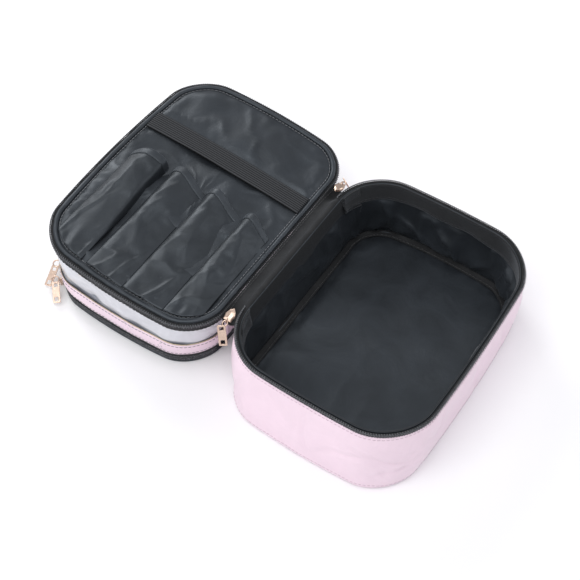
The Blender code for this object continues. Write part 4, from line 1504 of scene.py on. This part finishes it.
def pocket_grid(number, spec):
    """One pocket's cloth: an uneven arch from its open mouth to the gathers at its sewn end."""
    outer, inner, mouth_outer, mouth_inner, crest, high, proud = spec
    across = np.linspace(0, 1, POCKET_COLUMNS)
    down = np.linspace(0, 1, POCKET_ROWS)
    v, u = np.meshgrid(across, down)
    y = inner + (outer - inner) * v
    power = math.log(0.5) / math.log(crest)
    bow = 0.0030 * np.sin(math.pi * v**power)
    mouth = mouth_inner + (mouth_outer - mouth_inner) * v + bow
    end = panel_left(y, PANEL_INSET + 0.0004) + 0.0006
    x = mouth + (end - mouth) * u
    flat_points = np.stack((x, y, np.zeros(x.shape)), -1)
    seed = 131 + 10 * number
    arch = np.sin(math.pi * v**power) ** 0.70
    fall = 1 - 0.82 * ease(u, 0.20, 1.0)
    height = sizes().pocket_puff * high * arch * fall
    height *= 1 + 0.20 * ripples(flat_points, seed, 6, 13)
    long_fold = creases(flat_points, seed + 1, 12, 24, (3.0, 1.0, 1.0))
    slant = creases(flat_points + np.stack((y, y * 0, y * 0), -1), seed + 2, 9, 17)
    body = np.sin(math.pi * v) ** 0.5 * ease(u, 0.04, 0.22)
    height += body * (0.0012 * long_fold * (0.2 + u) + 0.0020 * slant * ease(u, 0.35, 0.9))
    gather = ripples(flat_points, seed + 3, 60, 130, 24, (4.0, 1.0, 1.0))
    height += 0.0005 * gather * ease(u, 0.70, 0.97) * (1 - ease(u, 0.985, 1.0)) * np.sin(math.pi * v) ** 0.4
    tuck = np.exp(-(((u * 0.112 - HEM_DEPTH) / 0.0007) ** 2))
    height -= 0.00045 * tuck * np.sin(math.pi * v) ** 0.3
    open_side = np.exp(-(((v - 0.14) / 0.12) ** 2)) * (1 - ease(u, 0.6, 0.95)) * np.sqrt(v)
    height += proud * open_side
    skew = -0.0016 * ripples(flat_points, seed + 4, 6, 12) * np.sin(math.pi * v) * u
    y = y + skew - proud * 1.6 * open_side
    return on_panel(x, y, -PANEL_RECESS + 0.0012 + np.clip(height, -0.0002, None)), u, v


def make_pockets():
    for number, spec in enumerate(POCKETS, 1):
        points, u, v = pocket_grid(number, spec)
        name = f"pocket_{number}"
        # The pockets wear a darker copy of the lining satin, as painted shade.
        piece = cloth_piece(name, points, LOOKS["pocket satin with painted shade"], 0.0006, v[0] * (spec[0] - spec[1]))
        piece.data.flip_normals()
        held = 1 - ease(np.minimum(np.minimum(v, 1 - v) * 3.2, (1 - u) * 9), 0.05, 0.5)
        held = np.maximum(held, 0.85 * (1 - ease(u, 0.02, 0.10)))
        settle(piece, held.ravel(), 0.016, 0.0011, bending=2.5)
        settled = coords(piece.data).reshape(points.shape)
        settled = above_panel(settled)
        put(piece.data, settled.reshape(-1, 3))
        finish_piece(piece, "upper_case", "black_satin", f"brush_pocket_{number_from_hinge(number)}")
        make_pocket_hem(name, settled)


def number_from_hinge(number):
    """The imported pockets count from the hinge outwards."""
    return len(POCKETS) + 1 - number


def above_panel(points):
    height = (points - PANEL_CORNER) @ PANEL_NORMAL
    short = np.clip(-PANEL_RECESS + 0.0008 - height, 0, None)
    return points + PANEL_NORMAL * short[..., None]


def make_pocket_hem(name, points):
    """The folded mouth of a pocket, with its row of stitches and the seams down its sides."""
    normals = grid_normals(points)
    normals *= np.sign(normals @ PANEL_NORMAL)[..., None]
    rows = int(round(HEM_DEPTH / 0.112 * (POCKET_ROWS - 1))) + 1
    fold = points[: rows + 1] + normals[: rows + 1] * 0.00032
    lip = points[0] + normals[0] * 0.00002 + (points[0] - points[1]) * 0.18
    rows_of_hem = np.concatenate((lip[None], fold))
    places = np.arange(points.shape[1]) * 0.001
    hem = cloth_piece(f"{name}_hem", rows_of_hem, LOOKS["rolled satin"], 0.0007, places)
    hem.data.flip_normals()
    finish_piece(hem, "upper_case", "black_satin")
    line = points[rows - 1][1:-1]
    ups = normals[rows - 1][1:-1]
    thread = stitches(line + ups * 0.0005, ups, 0.00022)
    for column in (1, -2):
        side = points[3:-2, column]
        ups = np.broadcast_to(PANEL_NORMAL, side.shape)
        thread += stitches(side + ups * 0.0003, ups, 0.00018)
    sew(f"{name}_stitches", thread, "black thread", "upper_case", "black_satin")


def make_clear_wall():
    """The clear vinyl wall, gently wavy, standing between the lower band and the zipper."""
    low = wall_row(CLEAR_INSET, CLEAR_FOOT)
    high = panel_row(CLEAR_INSET, CLEAR_DROP)
    rows = [three_sides(low + (high - low) * part) for part in np.linspace(0, 1, 30)]
    rows, places = evenly(rows, 0.0026)
    out = outwards(rows, False)
    part = np.linspace(0, 1, len(rows))[:, None]
    slack = np.sin(math.pi * part) ** 0.7
    wave = 0.0011 * ripples(rows, 141, 9, 20, stretch=(1, 1, 1.8))
    buckle = 0.0008 * ripples(rows, 143, 26, 46, stretch=(1, 1, 0.6))
    buckle *= np.exp(-(((part - 0.32) / 0.16) ** 2))
    rows = rows + out * (slack * (wave + buckle) - 0.0006 * slack)[..., None]
    piece = cloth_piece("vinyl_wall", rows, LOOKS["clear vinyl"], 0.0005, places)
    finish_piece(piece, "upper_case", "clear_pvc", "clear_wall")


def make_pink_band():
    """The leather band under the clear wall, its gold-edged top and its two rows of stitches."""
    rows = [three_sides(wall_row(0.0, z)) for z in np.linspace(0.0145, BAND_TOP, 16)]
    rows, places = evenly(rows, 0.0022)
    out = outwards(rows, False)
    part = np.linspace(0, 1, len(rows))[:, None]
    swell = 0.0007 * np.sin(math.pi * part) + 0.00045 * ripples(rows, 151, 12, 34)
    swell = swell - 0.0004 * creases(rows, 153, 20, 40, (1, 1, 2)) * np.sin(math.pi * part)
    rows = rows + out * np.clip(swell, -0.0001, None)[..., None]
    rows[-1] -= out[-1] * 0.0003
    piece = cloth_piece("leather_band", rows, LOOKS["flecked leather"], 0.0010, places)
    finish_piece(piece, "upper_case", "pink_leather", "pink_band")
    edge = rows[-1] + AXIS_Z * 0.0006 - out[-1] * 0.0003
    piece = tube_piece("gold_piping", edge, 0.00050, LOOKS["gold edge paint"], 8)
    finish_piece(piece, "upper_case", "gold_edge", "band_edge_trim")
    thread = []
    for index in (2, -3):
        normals = out[index]
        thread += stitches(rows[index] + normals * 0.00012, normals, 0.00024)
    sew("band_stitches", thread, "grey thread", "upper_case", "pink_leather")
    foot = wall_row(CLEAR_INSET, CLEAR_FOOT)
    head = panel_row(CLEAR_INSET, 0.0027)
    back = []
    for part in np.linspace(0, 1, 20):
        row = foot + (head - foot) * part
        half = np.linalg.norm(row[0] - row[len(row) - SIDE_STEPS]) / 2 - BACK_GAP
        back.append(back_side(row, half))
    back = np.array(back)
    steps = np.linalg.norm(back[0] - back[0][0], axis=1)
    rise, along = (np.sin(math.pi * np.linspace(0, 1, count)) for count in back.shape[:2])
    bulge = rise[:, None] * along
    back[..., 1] -= 0.0008 * bulge * (1 + ripples(back, 155, 12, 30))
    piece = cloth_piece("hinge_wall", back, LOOKS["pink leather"], 0.0016, steps)
    finish_piece(piece, "upper_case", "pink_leather", "upper_back_wall")
    thread = []
    for index in (1, -2):
        line = back[index][1:-1]
        normals = np.broadcast_to(-AXIS_Y, line.shape)
        thread += stitches(line + normals * 0.0001, normals, 0.00022)
    sew("hinge_wall_stitches", thread, "pink thread", "upper_case", "pink_leather")


class TrainCasePanel(bpy.types.Operator):
    """Build the brush panel: its rolled edge, padding, elastic and pockets"""

    bl_idname = "train_case.panel"
    bl_label = "Brush panel"

    def execute(self, context):
        make_panel_edge()
        make_panel_pad()
        make_elastic()
        make_pockets()
        return {"FINISHED"}


class TrainCaseWalls(bpy.types.Operator):
    """Build the compartment's clear wall and leather band"""

    bl_idname = "train_case.compartment_walls"
    bl_label = "Compartment walls"

    def execute(self, context):
        make_clear_wall()
        make_pink_band()
        return {"FINISHED"}


# ---------------------------------------------------------------- lid

LID_FRAME_WIDTH = 0.020
LID_BINDING_R = 0.00125
LID_TAPE_TOP = 0.0141
LID_TAPE_FOOT = 0.0029
LID_TAPE_INSET = CLEAR_INSET - 0.0002
LID_TEETH_R = 0.0011
LID_TEETH_INSET = 0.0004
LID_TEETH_OFFSET = 0.0017


def lid_tape(name, heights, body, node_name, seed, seam):
    """One half of the lid zipper's tape, with a row of stitches along its seam."""
    rows = [three_sides(wall_row(LID_TAPE_INSET, z)) for z in heights]
    rows, places = evenly(rows, 0.0022)
    out = outwards(rows, False)
    part = np.linspace(0, 1, len(rows))[:, None]
    rows = rows + out * (0.0003 * np.sin(math.pi * part) * (1 + ripples(rows, seed, 20, 60)))[..., None]
    piece = cloth_piece(name, rows, LOOKS["zipper tape"], 0.0008, places)
    finish_piece(piece, body, "black_tape", node_name)
    line = rows[seam]
    normals = outward(line, False)
    thread = stitches(line + normals * 0.0001, normals, 0.00022)
    sew(f"{name}_stitches", thread, "black thread", body, "black_tape")


def make_lid_zipper():
    """The closed zipper round the lid: two tapes with a coil along each edge."""
    top = np.linspace(LID_SPLIT + 0.0004, LID_TAPE_TOP, 8)
    foot = np.linspace(LID_TAPE_FOOT, LID_SPLIT - 0.0004, 6)
    lid_tape("lid_tape_high", top, "upper_case", "lid_tape_upper", 161, -2)
    lid_tape("lid_tape_low", foot, "lid", "lid_tape_lower", 163, 1)
    for name, body, side in (("upper", "upper_case", 1), ("lower", "lid", -1)):
        row = three_sides(wall_row(LID_TEETH_INSET, LID_SPLIT + side * LID_TEETH_OFFSET))
        path, _ = evenly([row], 0.002)
        path = path[0][5:-5]
        normals = outward(path, False)
        piece = coil_piece(f"lid_teeth_{name}", path, normals, LID_TEETH_R, LOOKS["coil nylon"])
        finish_piece(piece, body, "black_nylon", f"lid_coil_{name}")
    make_lid_hinge()


def make_lid_hinge():
    """The strip of cloth along the hinge side, on which the lid turns."""
    heights = np.linspace(LID_TAPE_FOOT, LID_TAPE_TOP, 14)
    rows = np.array([back_side(wall_row(CLEAR_INSET, z), LID_HINGE_REACH) for z in heights])
    groove = np.exp(-(((rows[..., 2] - LID_SPLIT) / 0.0012) ** 2))
    rows[..., 1] += 0.0004 * groove
    steps = np.linalg.norm(rows[0] - rows[0][0], axis=1)
    piece = cloth_piece("lid_hinge_cloth", rows, LOOKS["grosgrain"], 0.0009, steps)
    finish_piece(piece, None, "black_tape", "lid_hinge_upper", "lid_hinge_lower")
    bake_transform(piece)


def make_lid_frame():
    """The lid itself: bound edge, leather frame and its clear window."""
    path, _ = evenly([wall_row(CLEAR_INSET, LID_BINDING_R + 0.0001)], 0.0025, closed=True)
    piece = tube_piece("lid_edge", path[0], LID_BINDING_R + 0.0001, LOOKS["rolled satin"], 12, closed=True)
    finish_piece(piece, "lid", "black_tape", "lid_binding")
    rows = []
    for inset in np.linspace(0.0031, 0.0031 + LID_FRAME_WIDTH, 12):
        flat = lid_flat(inset)
        rows.append(np.column_stack((flat, np.full(len(flat), 0.0003))))
    rows, places = evenly(rows, 0.003, closed=True)
    part = np.linspace(0, 1, len(rows))[:, None]
    rows[..., 2] += 0.00022 * np.sin(math.pi * part)
    leather = LOOKS["pink leather"]
    piece = cloth_piece("lid_leather", rows, leather, 0.0006, places, closed=True, offset=0.0)
    consistent(piece)
    finish_piece(piece, "lid", "pink_leather", "lid_frame")
    thread = []
    for index in (1, -2):
        normals = np.broadcast_to(-AXIS_Z, rows[index].shape)
        thread += stitches(rows[index] + normals * 0.0002, normals, 0.0002, closed=True)
    sew("lid_leather_stitches", thread, "pink thread", "lid", "pink_leather")
    rings = filled_outline(lid_flat(0.0031), 0.005, 16)
    flat_points = np.stack((rings[..., 0], rings[..., 1], np.full(rings.shape[:2], 0.00125)), -1)
    edge = np.linalg.norm(rings - rings[:1], axis=-1)
    flat_points[..., 2] += 0.0005 * ease(edge, 0.02, 0.04) * (1 + ripples(flat_points, 171, 8, 18))
    lower = flat_points[::-1] - AXIS_Z * 0.0004
    shell = np.concatenate((lower, flat_points))
    faces = grid_faces(len(shell), shell.shape[1], closed=True)
    count = shell.shape[1]
    faces.append(list(range(count))[::-1])
    faces.append([(len(shell) - 1) * count + i for i in range(count)])
    piece = link_piece("lid_pane", shell, faces, LOOKS["clear vinyl"])
    consistent(piece)
    finish_piece(piece, "lid", "clear_pvc", "lid_window")


class TrainCaseLid(bpy.types.Operator):
    """Build the clear lid and its zipper"""

    bl_idname = "train_case.lid"
    bl_label = "Lid"

    def execute(self, context):
        make_lid_zipper()
        make_lid_frame()
        return {"FINISHED"}


# ---------------------------------------------------------------- sliders and pulls

SHIELD = ((-1.0, -0.8), (-0.1, -1.0), (0.5, -0.7), (1.0, 0.0), (0.5, 0.7), (-0.1, 1.0), (-1.0, 0.8))
MAIN_SLIDER = (0.0125, 0.0090, 0.0034)
MAIN_SLIDER_CLEAR = 0.0074
MAIN_SLIDER_TURN = math.radians(14)
MAIN_SLIDER_DROP = 0.0050
MAIN_SLIDER_TILT = math.radians(15)
MAIN_PULL_HANG = (0.26, -0.26, -0.93)
MAIN_PULL_FACE = (0.84, -0.54)
MAIN_PULL_OUT = 0.0009
LID_SLIDER = (0.0085, 0.0060, 0.0028)
LID_SLIDER_CLEAR = 0.0030
LID_SLIDER_TURNS = {"a": math.radians(66), "b": math.radians(44)}
LID_PULL_HEADINGS = {"a": math.radians(197), "b": math.radians(221.5)}
LID_PULL_SLOPE = math.radians(-13)
LID_LINK_LIFT = 0.0030
PULL_LENGTH = 0.0215
MAIN_PULL_WIDTH = 0.0075
LID_PULL_WIDTH = 0.0070
PULL_THICKNESS = 0.0010
PULL_FRAME = 0.0018
PULL_SLACK = 0.0005
WIRE_R = 0.0006
LINK_R = 0.0030
BAIL_R = 0.0021
GAP = 0.0003
RING_STEPS = 40


def corner_spot(size, quarter, angle, clear):
    """A point outside one rounded corner of an outline, at this angle of its arc."""
    length, depth, radius, bow = size
    a, b = length / 2, depth / 2
    out = Vector((math.cos(angle), math.sin(angle)))
    x, y = Vector((quarter[0] * (a - radius), quarter[1] * (b - radius))) + radius * out
    side = bow * max(0.0, 1 - (y / b) ** 2) * abs(x / a) ** 4
    front = bow * max(0.0, 1 - (x / a) ** 2) * abs(y / b) ** 4 if y < 0 else 0.0
    return Vector((x + math.copysign(side, x), y - front)) + clear * out


def frame_at(origin, x_axis, z_axis):
    """A placement with its x along x_axis and its z as near z_axis as that allows."""
    x = x_axis.normalized()
    y = z_axis.cross(x).normalized()
    z = x.cross(y)
    return Matrix.Translation(origin) @ Matrix((x, y, z)).transposed().to_4x4()


SLIDER_LAYERS = (
    # share of the outline, share of half the thickness
    (0.80, -1.0),
    (0.97, -0.80),
    (0.97, -0.30),
    (0.84, -0.24),
    (0.84, 0.16),
    (1.00, 0.22),
    (1.00, 0.52),
    (0.74, 0.98),
)


def slider_body(name, size, place):
    """A slider: lower plate, waist where the coils pass, and a faceted upper plate."""
    length, width, thickness = size
    loop = np.array([(x * length / 2, y * width / 2) for x, y in SHIELD])
    verts = []
    for share, height in SLIDER_LAYERS:
        verts += [(x * share, y * share, height * thickness / 2) for x, y in loop]
    count = len(loop)
    faces = [list(range(count))[::-1]]
    for layer in range(len(SLIDER_LAYERS) - 1):
        start = layer * count
        for i in range(count):
            j = (i + 1) % count
            faces.append([start + i, start + j, start + count + j, start + count + i])
    top = (len(SLIDER_LAYERS) - 1) * count
    ridge = len(verts)
    peak = thickness / 2 * 1.22
    verts += [(-length * 0.30, 0.0, peak), (length * 0.12, 0.0, peak)]
    faces.append([top, top + 1, ridge + 1, ridge])
    faces += [[top + i, top + i + 1, ridge + 1] for i in range(1, 5)]
    faces += [[top + 5, top + 6, ridge, ridge + 1], [top + 6, top, ridge]]
    points = [place @ Vector(v) for v in verts]
    piece = link_piece(name, [tuple(p) for p in points], faces, LOOKS["champagne plating"])
    piece.data.shade_flat()
    consistent(piece)
    edges = piece.modifiers.new("edges", "BEVEL")
    edges.width = 0.00016
    edges.segments = 2
    edges.limit_method = "ANGLE"
    return piece


def wire_ring(name, radius, wire, place, long):
    """A closed wire loop, drawn out along its x."""
    angles = math.pi + 2 * math.pi * np.arange(RING_STEPS) / RING_STEPS
    ring = [(radius * long * math.cos(t), radius * math.sin(t), 0) for t in angles]
    path = np.array([place @ Vector(point) for point in ring])
    normals = np.broadcast_to(np.array(place.to_3x3().col[2]), path.shape)
    return tube_piece(name, path, wire, LOOKS["champagne plating"], 10, closed=True, normals=normals)


def rounded_window(x0, x1, half, radius, steps=5):
    points = []
    for cx, cy, turn in ((x1, half, 0), (x0, half, 1), (x0, -half, 2), (x1, -half, 3)):
        for i in range(steps + 1):
            angle = math.pi / 2 * (turn + i / steps)
            x = cx - math.copysign(radius, cx - (x0 + x1) / 2) + radius * math.cos(angle)
            y = cy - math.copysign(radius, cy) + radius * math.sin(angle)
            points.append((x, y))
    return points


def pull_tab(name, place, width):
    """A rectangular pull with two windows, rounded edges and a flat bridge between them."""
    half = width / 2
    inner = half - PULL_FRAME
    loops = (
        rounded_window(0.0, PULL_LENGTH, half, 0.0011),
        rounded_window(PULL_FRAME, PULL_LENGTH * 0.25, inner, 0.0006),
        rounded_window(PULL_LENGTH * 0.72, PULL_LENGTH - PULL_FRAME, inner, 0.0006),
    )
    curve = bpy.data.curves.new(name, "CURVE")
    curve.dimensions = "2D"
    curve.fill_mode = "BOTH"
    rounding = 0.00024
    curve.extrude = PULL_THICKNESS / 2 - rounding
    curve.bevel_depth = rounding
    curve.bevel_resolution = 3
    curve.offset = -rounding
    for loop in loops:
        spline = curve.splines.new("POLY")
        spline.points.add(len(loop) - 1)
        for target, point in zip(spline.points, loop):
            target.co = (*point, 0.0, 1.0)
        spline.use_cyclic_u = True
    drawn = bpy.data.objects.new(f"{name}_outline", curve)
    bpy.context.scene.collection.objects.link(drawn)
    bpy.context.view_layer.update()
    graph = bpy.context.evaluated_depsgraph_get()
    mesh = bpy.data.meshes.new_from_object(drawn.evaluated_get(graph))
    bpy.data.objects.remove(drawn)
    mesh.name = name
    mesh.transform(place)
    mesh.materials.clear()
    mesh.materials.append(LOOKS["champagne plating"])
    mesh.shade_flat()
    piece = bpy.data.objects.new(name, mesh)
    bpy.context.scene.collection.objects.link(piece)
    weld(piece)
    return piece


def weld(piece):
    work = bmesh.new()
    work.from_mesh(piece.data)
    bmesh.ops.remove_doubles(work, verts=work.verts, dist=1e-6)
    bmesh.ops.recalc_face_normals(work, faces=work.faces)
    work.to_mesh(piece.data)
    work.free()


def make_main_sliders():
    for side, sign in (("left", -1), ("right", 1)):
        turn = math.pi / 2 - sign * MAIN_SLIDER_TURN
        flat = corner_spot(RIM, (sign, 1), turn, MAIN_SLIDER_CLEAR)
        spot = Vector((*flat, LOWER_HEIGHT - MAIN_SLIDER_DROP))
        inwards = Vector((-sign * math.cos(MAIN_SLIDER_TILT), 0, math.sin(MAIN_SLIDER_TILT)))
        up = Vector((sign * math.sin(MAIN_SLIDER_TILT), 0, math.cos(MAIN_SLIDER_TILT)))
        place = frame_at(spot, inwards, up)
        body = f"main_slider_{side}_body"
        piece = slider_body(f"main_runner_{side}", MAIN_SLIDER, place)
        finish_piece(piece, body, "champagne_metal", f"main_slider_{side}")
        centre = place @ Vector((-MAIN_SLIDER[0] / 2 - BAIL_R - WIRE_R - GAP, 0, 0))
        ring_place = frame_at(centre, inwards, up)
        piece = wire_ring(f"main_loop_{side}", BAIL_R * 1.05, WIRE_R * 1.1, ring_place, long=1.15)
        finish_piece(piece, body, "champagne_metal", f"main_bail_{side}")
        neck = place @ Matrix.Translation((-MAIN_SLIDER[0] * 0.47, 0, 0))
        upright = Matrix.Rotation(math.pi / 2, 4, "X")
        piece = wire_ring(f"main_neck_{side}", 0.0017, 0.0005, neck @ upright, long=1.25)
        finish_piece(piece, body, "champagne_metal")
        out, back, down = MAIN_PULL_HANG
        hang = Vector((sign * out, back, down)).normalized()
        outwards = (centre - spot).normalized()
        top = centre + outwards * (BAIL_R + WIRE_R + GAP + PULL_THICKNESS)
        face = Vector((sign * MAIN_PULL_FACE[0], MAIN_PULL_FACE[1], 0))
        clear = Vector((math.cos(turn), math.sin(turn), 0)) * MAIN_PULL_OUT
        tab = frame_at(top - hang * 0.0016 + clear, hang, face)
        piece = pull_tab(f"main_tab_{side}", tab, MAIN_PULL_WIDTH)
        finish_piece(piece, f"main_pull_{side}_body", "champagne_metal", f"main_pull_{side}")


def make_lid_sliders():
    middle = Vector((COMPARTMENT_SHIFT_X, LID_MIDDLE_Y))
    for letter, turn in LID_SLIDER_TURNS.items():
        flat = middle - corner_spot(LID, (1, -1), -turn, LID_SLIDER_CLEAR)
        out = Vector((-math.cos(turn), math.sin(turn), 0))
        tangent = Vector((math.sin(turn), math.cos(turn), 0))
        spot = Vector((*flat, LID_SPLIT))
        place = frame_at(spot, tangent, out)
        body = f"lid_slider_{letter}_body"
        piece = slider_body(f"lid_runner_{letter}", LID_SLIDER, place)
        finish_piece(piece, body, "champagne_metal", f"lid_slider_{letter}")
        crown = place @ Matrix.Translation((0, 0, LID_SLIDER[2] / 2 + 0.0003))
        turned = crown @ Matrix.Rotation(math.pi / 2, 4, "X")
        piece = wire_ring(f"lid_crown_{letter}", 0.0014, 0.00045, turned, long=1.5)
        finish_piece(piece, body, "champagne_metal")
        clear = LID_SLIDER[2] / 2 + GAP + WIRE_R + LINK_R
        ring = spot + out * clear + Vector((0, 0, LID_LINK_LIFT))
        heading = LID_PULL_HEADINGS[letter]
        level = math.cos(LID_PULL_SLOPE)
        lean = Vector((level * math.cos(heading), level * math.sin(heading), math.sin(LID_PULL_SLOPE)))
        ring_place = frame_at(ring, lean, Vector((0, 0, 1)))
        pull_body = f"lid_pull_{letter}_body"
        piece = wire_ring(f"lid_loop_{letter}", LINK_R * 1.08, WIRE_R * 1.1, ring_place, long=1.06)
        finish_piece(piece, pull_body, "champagne_metal", f"lid_link_{letter}")
        top = ring + lean * (LINK_R + WIRE_R + PULL_SLACK - 0.0018)
        tab = frame_at(top - Vector((0, 0, 0.0002)), lean, Vector((0, 0, 1)))
        piece = pull_tab(f"lid_tab_{letter}", tab, LID_PULL_WIDTH)
        finish_piece(piece, pull_body, "champagne_metal", f"lid_pull_{letter}")


class TrainCaseHardware(bpy.types.Operator):
    """Build the zipper sliders, their loops and their pulls"""

    bl_idname = "train_case.hardware"
    bl_label = "Sliders and pulls"

    def execute(self, context):
        make_main_sliders()
        make_lid_sliders()
        return {"FINISHED"}


# ---------------------------------------------------------------- stage

CAMERA_LENS = 74.67
CAMERA_AZIMUTH = math.radians(-57.32)
CAMERA_ELEVATION = math.radians(54.35)
CAMERA_ROLL = math.radians(1.266)
CAMERA_DISTANCE = 1.137
CAMERA_TARGET = Vector((0.00696, 0.09986, 0.0))
FLOOR_SIZE = 9.0


def make_camera():
    data = bpy.data.cameras.new("view")
    data.lens = CAMERA_LENS
    camera = bpy.data.objects.new("view", data)
    bpy.context.scene.collection.objects.link(camera)
    level = math.cos(CAMERA_ELEVATION)
    back = Vector(
        (
            math.sin(CAMERA_AZIMUTH) * level,
            -math.cos(CAMERA_AZIMUTH) * level,
            math.sin(CAMERA_ELEVATION),
        )
    )
    right = (-back).cross(Vector((0, 0, 1))).normalized()
    up = right.cross(-back)
    turned_right = right * math.cos(CAMERA_ROLL) + up * math.sin(CAMERA_ROLL)
    turned_up = up * math.cos(CAMERA_ROLL) - right * math.sin(CAMERA_ROLL)
    basis = Matrix((turned_right, turned_up, back)).transposed().to_4x4()
    camera.matrix_world = Matrix.Translation(CAMERA_TARGET + back * CAMERA_DISTANCE) @ basis
    data.clip_start = 0.05
    data.clip_end = 30.0
    bpy.context.scene.camera = camera


LIGHTS = (
    # name, place, size, power, colour
    ("overhead", (-0.60, 0.15, 1.7), 1.5, 17.0, (1.0, 1.0, 1.0)),
    ("window side", (-1.6, 0.7, 0.9), 1.0, 5.0, (1.0, 0.99, 0.985)),
    ("back softbox", (0.80, 1.70, 1.00), 1.0, 16.0, (1.0, 1.0, 1.0)),
    ("fill side", (1.3, -1.3, 1.2), 1.4, 8.6, (0.98, 0.985, 1.0)),
)
AIM = Vector((0.0, 0.09, 0.03))


def make_lights():
    for name, place, size, power, colour in LIGHTS:
        data = bpy.data.lights.new(name, "AREA")
        data.size = size
        data.energy = power
        data.color = colour
        light = bpy.data.objects.new(name, data)
        light.location = place
        light.rotation_euler = (AIM - Vector(place)).to_track_quat("-Z", "Y").to_euler()
        bpy.context.scene.collection.objects.link(light)
    world = bpy.data.worlds.new("studio")
    world.use_nodes = True
    background = world.node_tree.nodes["Background"]
    background.inputs[0].default_value = (0.95, 0.96, 1.0, 1.0)
    background.inputs[1].default_value = 0.48
    bpy.context.scene.world = world


def make_floor():
    look = bpy.data.materials.new("pale floor")
    look.use_nodes = True
    shader = look.node_tree.nodes["Principled BSDF"]
    shader.inputs["Base Color"].default_value = (0.97, 0.972, 0.98, 1.0)
    shader.inputs["Roughness"].default_value = 0.7
    shader.inputs["Specular IOR Level"].default_value = 0.2
    half = FLOOR_SIZE / 2
    corners = [(-half, -half, 0), (half, -half, 0), (half, half, 0), (-half, half, 0)]
    mesh = bpy.data.meshes.new("floor")
    mesh.from_pydata(corners, [], [(0, 1, 2, 3)])
    mesh.materials.append(look)
    floor = bpy.data.objects.new("floor", mesh)
    floor.location.z = -0.0004
    bpy.context.scene.collection.objects.link(floor)


class TrainCaseStage(bpy.types.Operator):
    """Add the camera, the lights and a plain pale floor"""

    bl_idname = "train_case.stage"
    bl_label = "Stage"

    def execute(self, context):
        make_camera()
        make_lights()
        make_floor()
        context.scene.view_settings.view_transform = "Standard"
        return {"FINISHED"}


class TrainCaseFinishes(bpy.types.Operator):
    """Make every finish of the case"""

    bl_idname = "train_case.finishes"
    bl_label = "Finishes"

    def execute(self, context):
        make_finishes()
        return {"FINISHED"}


# ---------------------------------------------------------------- panel and registration

STEPS = (
    TrainCaseStage,
    TrainCaseFinishes,
    TrainCaseLower,
    TrainCaseRim,
    TrainCaseLining,
    TrainCasePanel,
    TrainCaseWalls,
    TrainCaseLid,
    TrainCaseHinge,
    TrainCaseHardware,
)


class TrainCasePanelUi(bpy.types.Panel):
    """Lists the steps that build the case, with the sizes and colours that they use"""

    bl_idname = "VIEW3D_PT_train_case"
    bl_label = "Train Case"
    bl_space_type = "VIEW_3D"
    bl_region_type = "UI"
    bl_category = "Train Case"

    def draw(self, context):
        layout = self.layout
        for group in (context.scene.train_case_sizes, context.scene.train_case_colours):
            for name in group.__annotations__:
                layout.prop(group, name)
        for step in STEPS:
            layout.operator(step.bl_idname)


CLASSES = (TrainCaseColours, TrainCaseSizes, *STEPS, TrainCasePanelUi)


def register():
    for made in CLASSES:
        bpy.utils.register_class(made)
    bpy.types.Scene.train_case_sizes = bpy.props.PointerProperty(type=TrainCaseSizes)
    bpy.types.Scene.train_case_colours = bpy.props.PointerProperty(type=TrainCaseColours)


def unregister():
    del bpy.types.Scene.train_case_colours
    del bpy.types.Scene.train_case_sizes
    for made in reversed(CLASSES):
        bpy.utils.unregister_class(made)


def main():
    register()
    for step in STEPS:
        group, name = step.bl_idname.split(".")
        getattr(getattr(bpy.ops, group), name)()


if __name__ == "__main__":
    main()
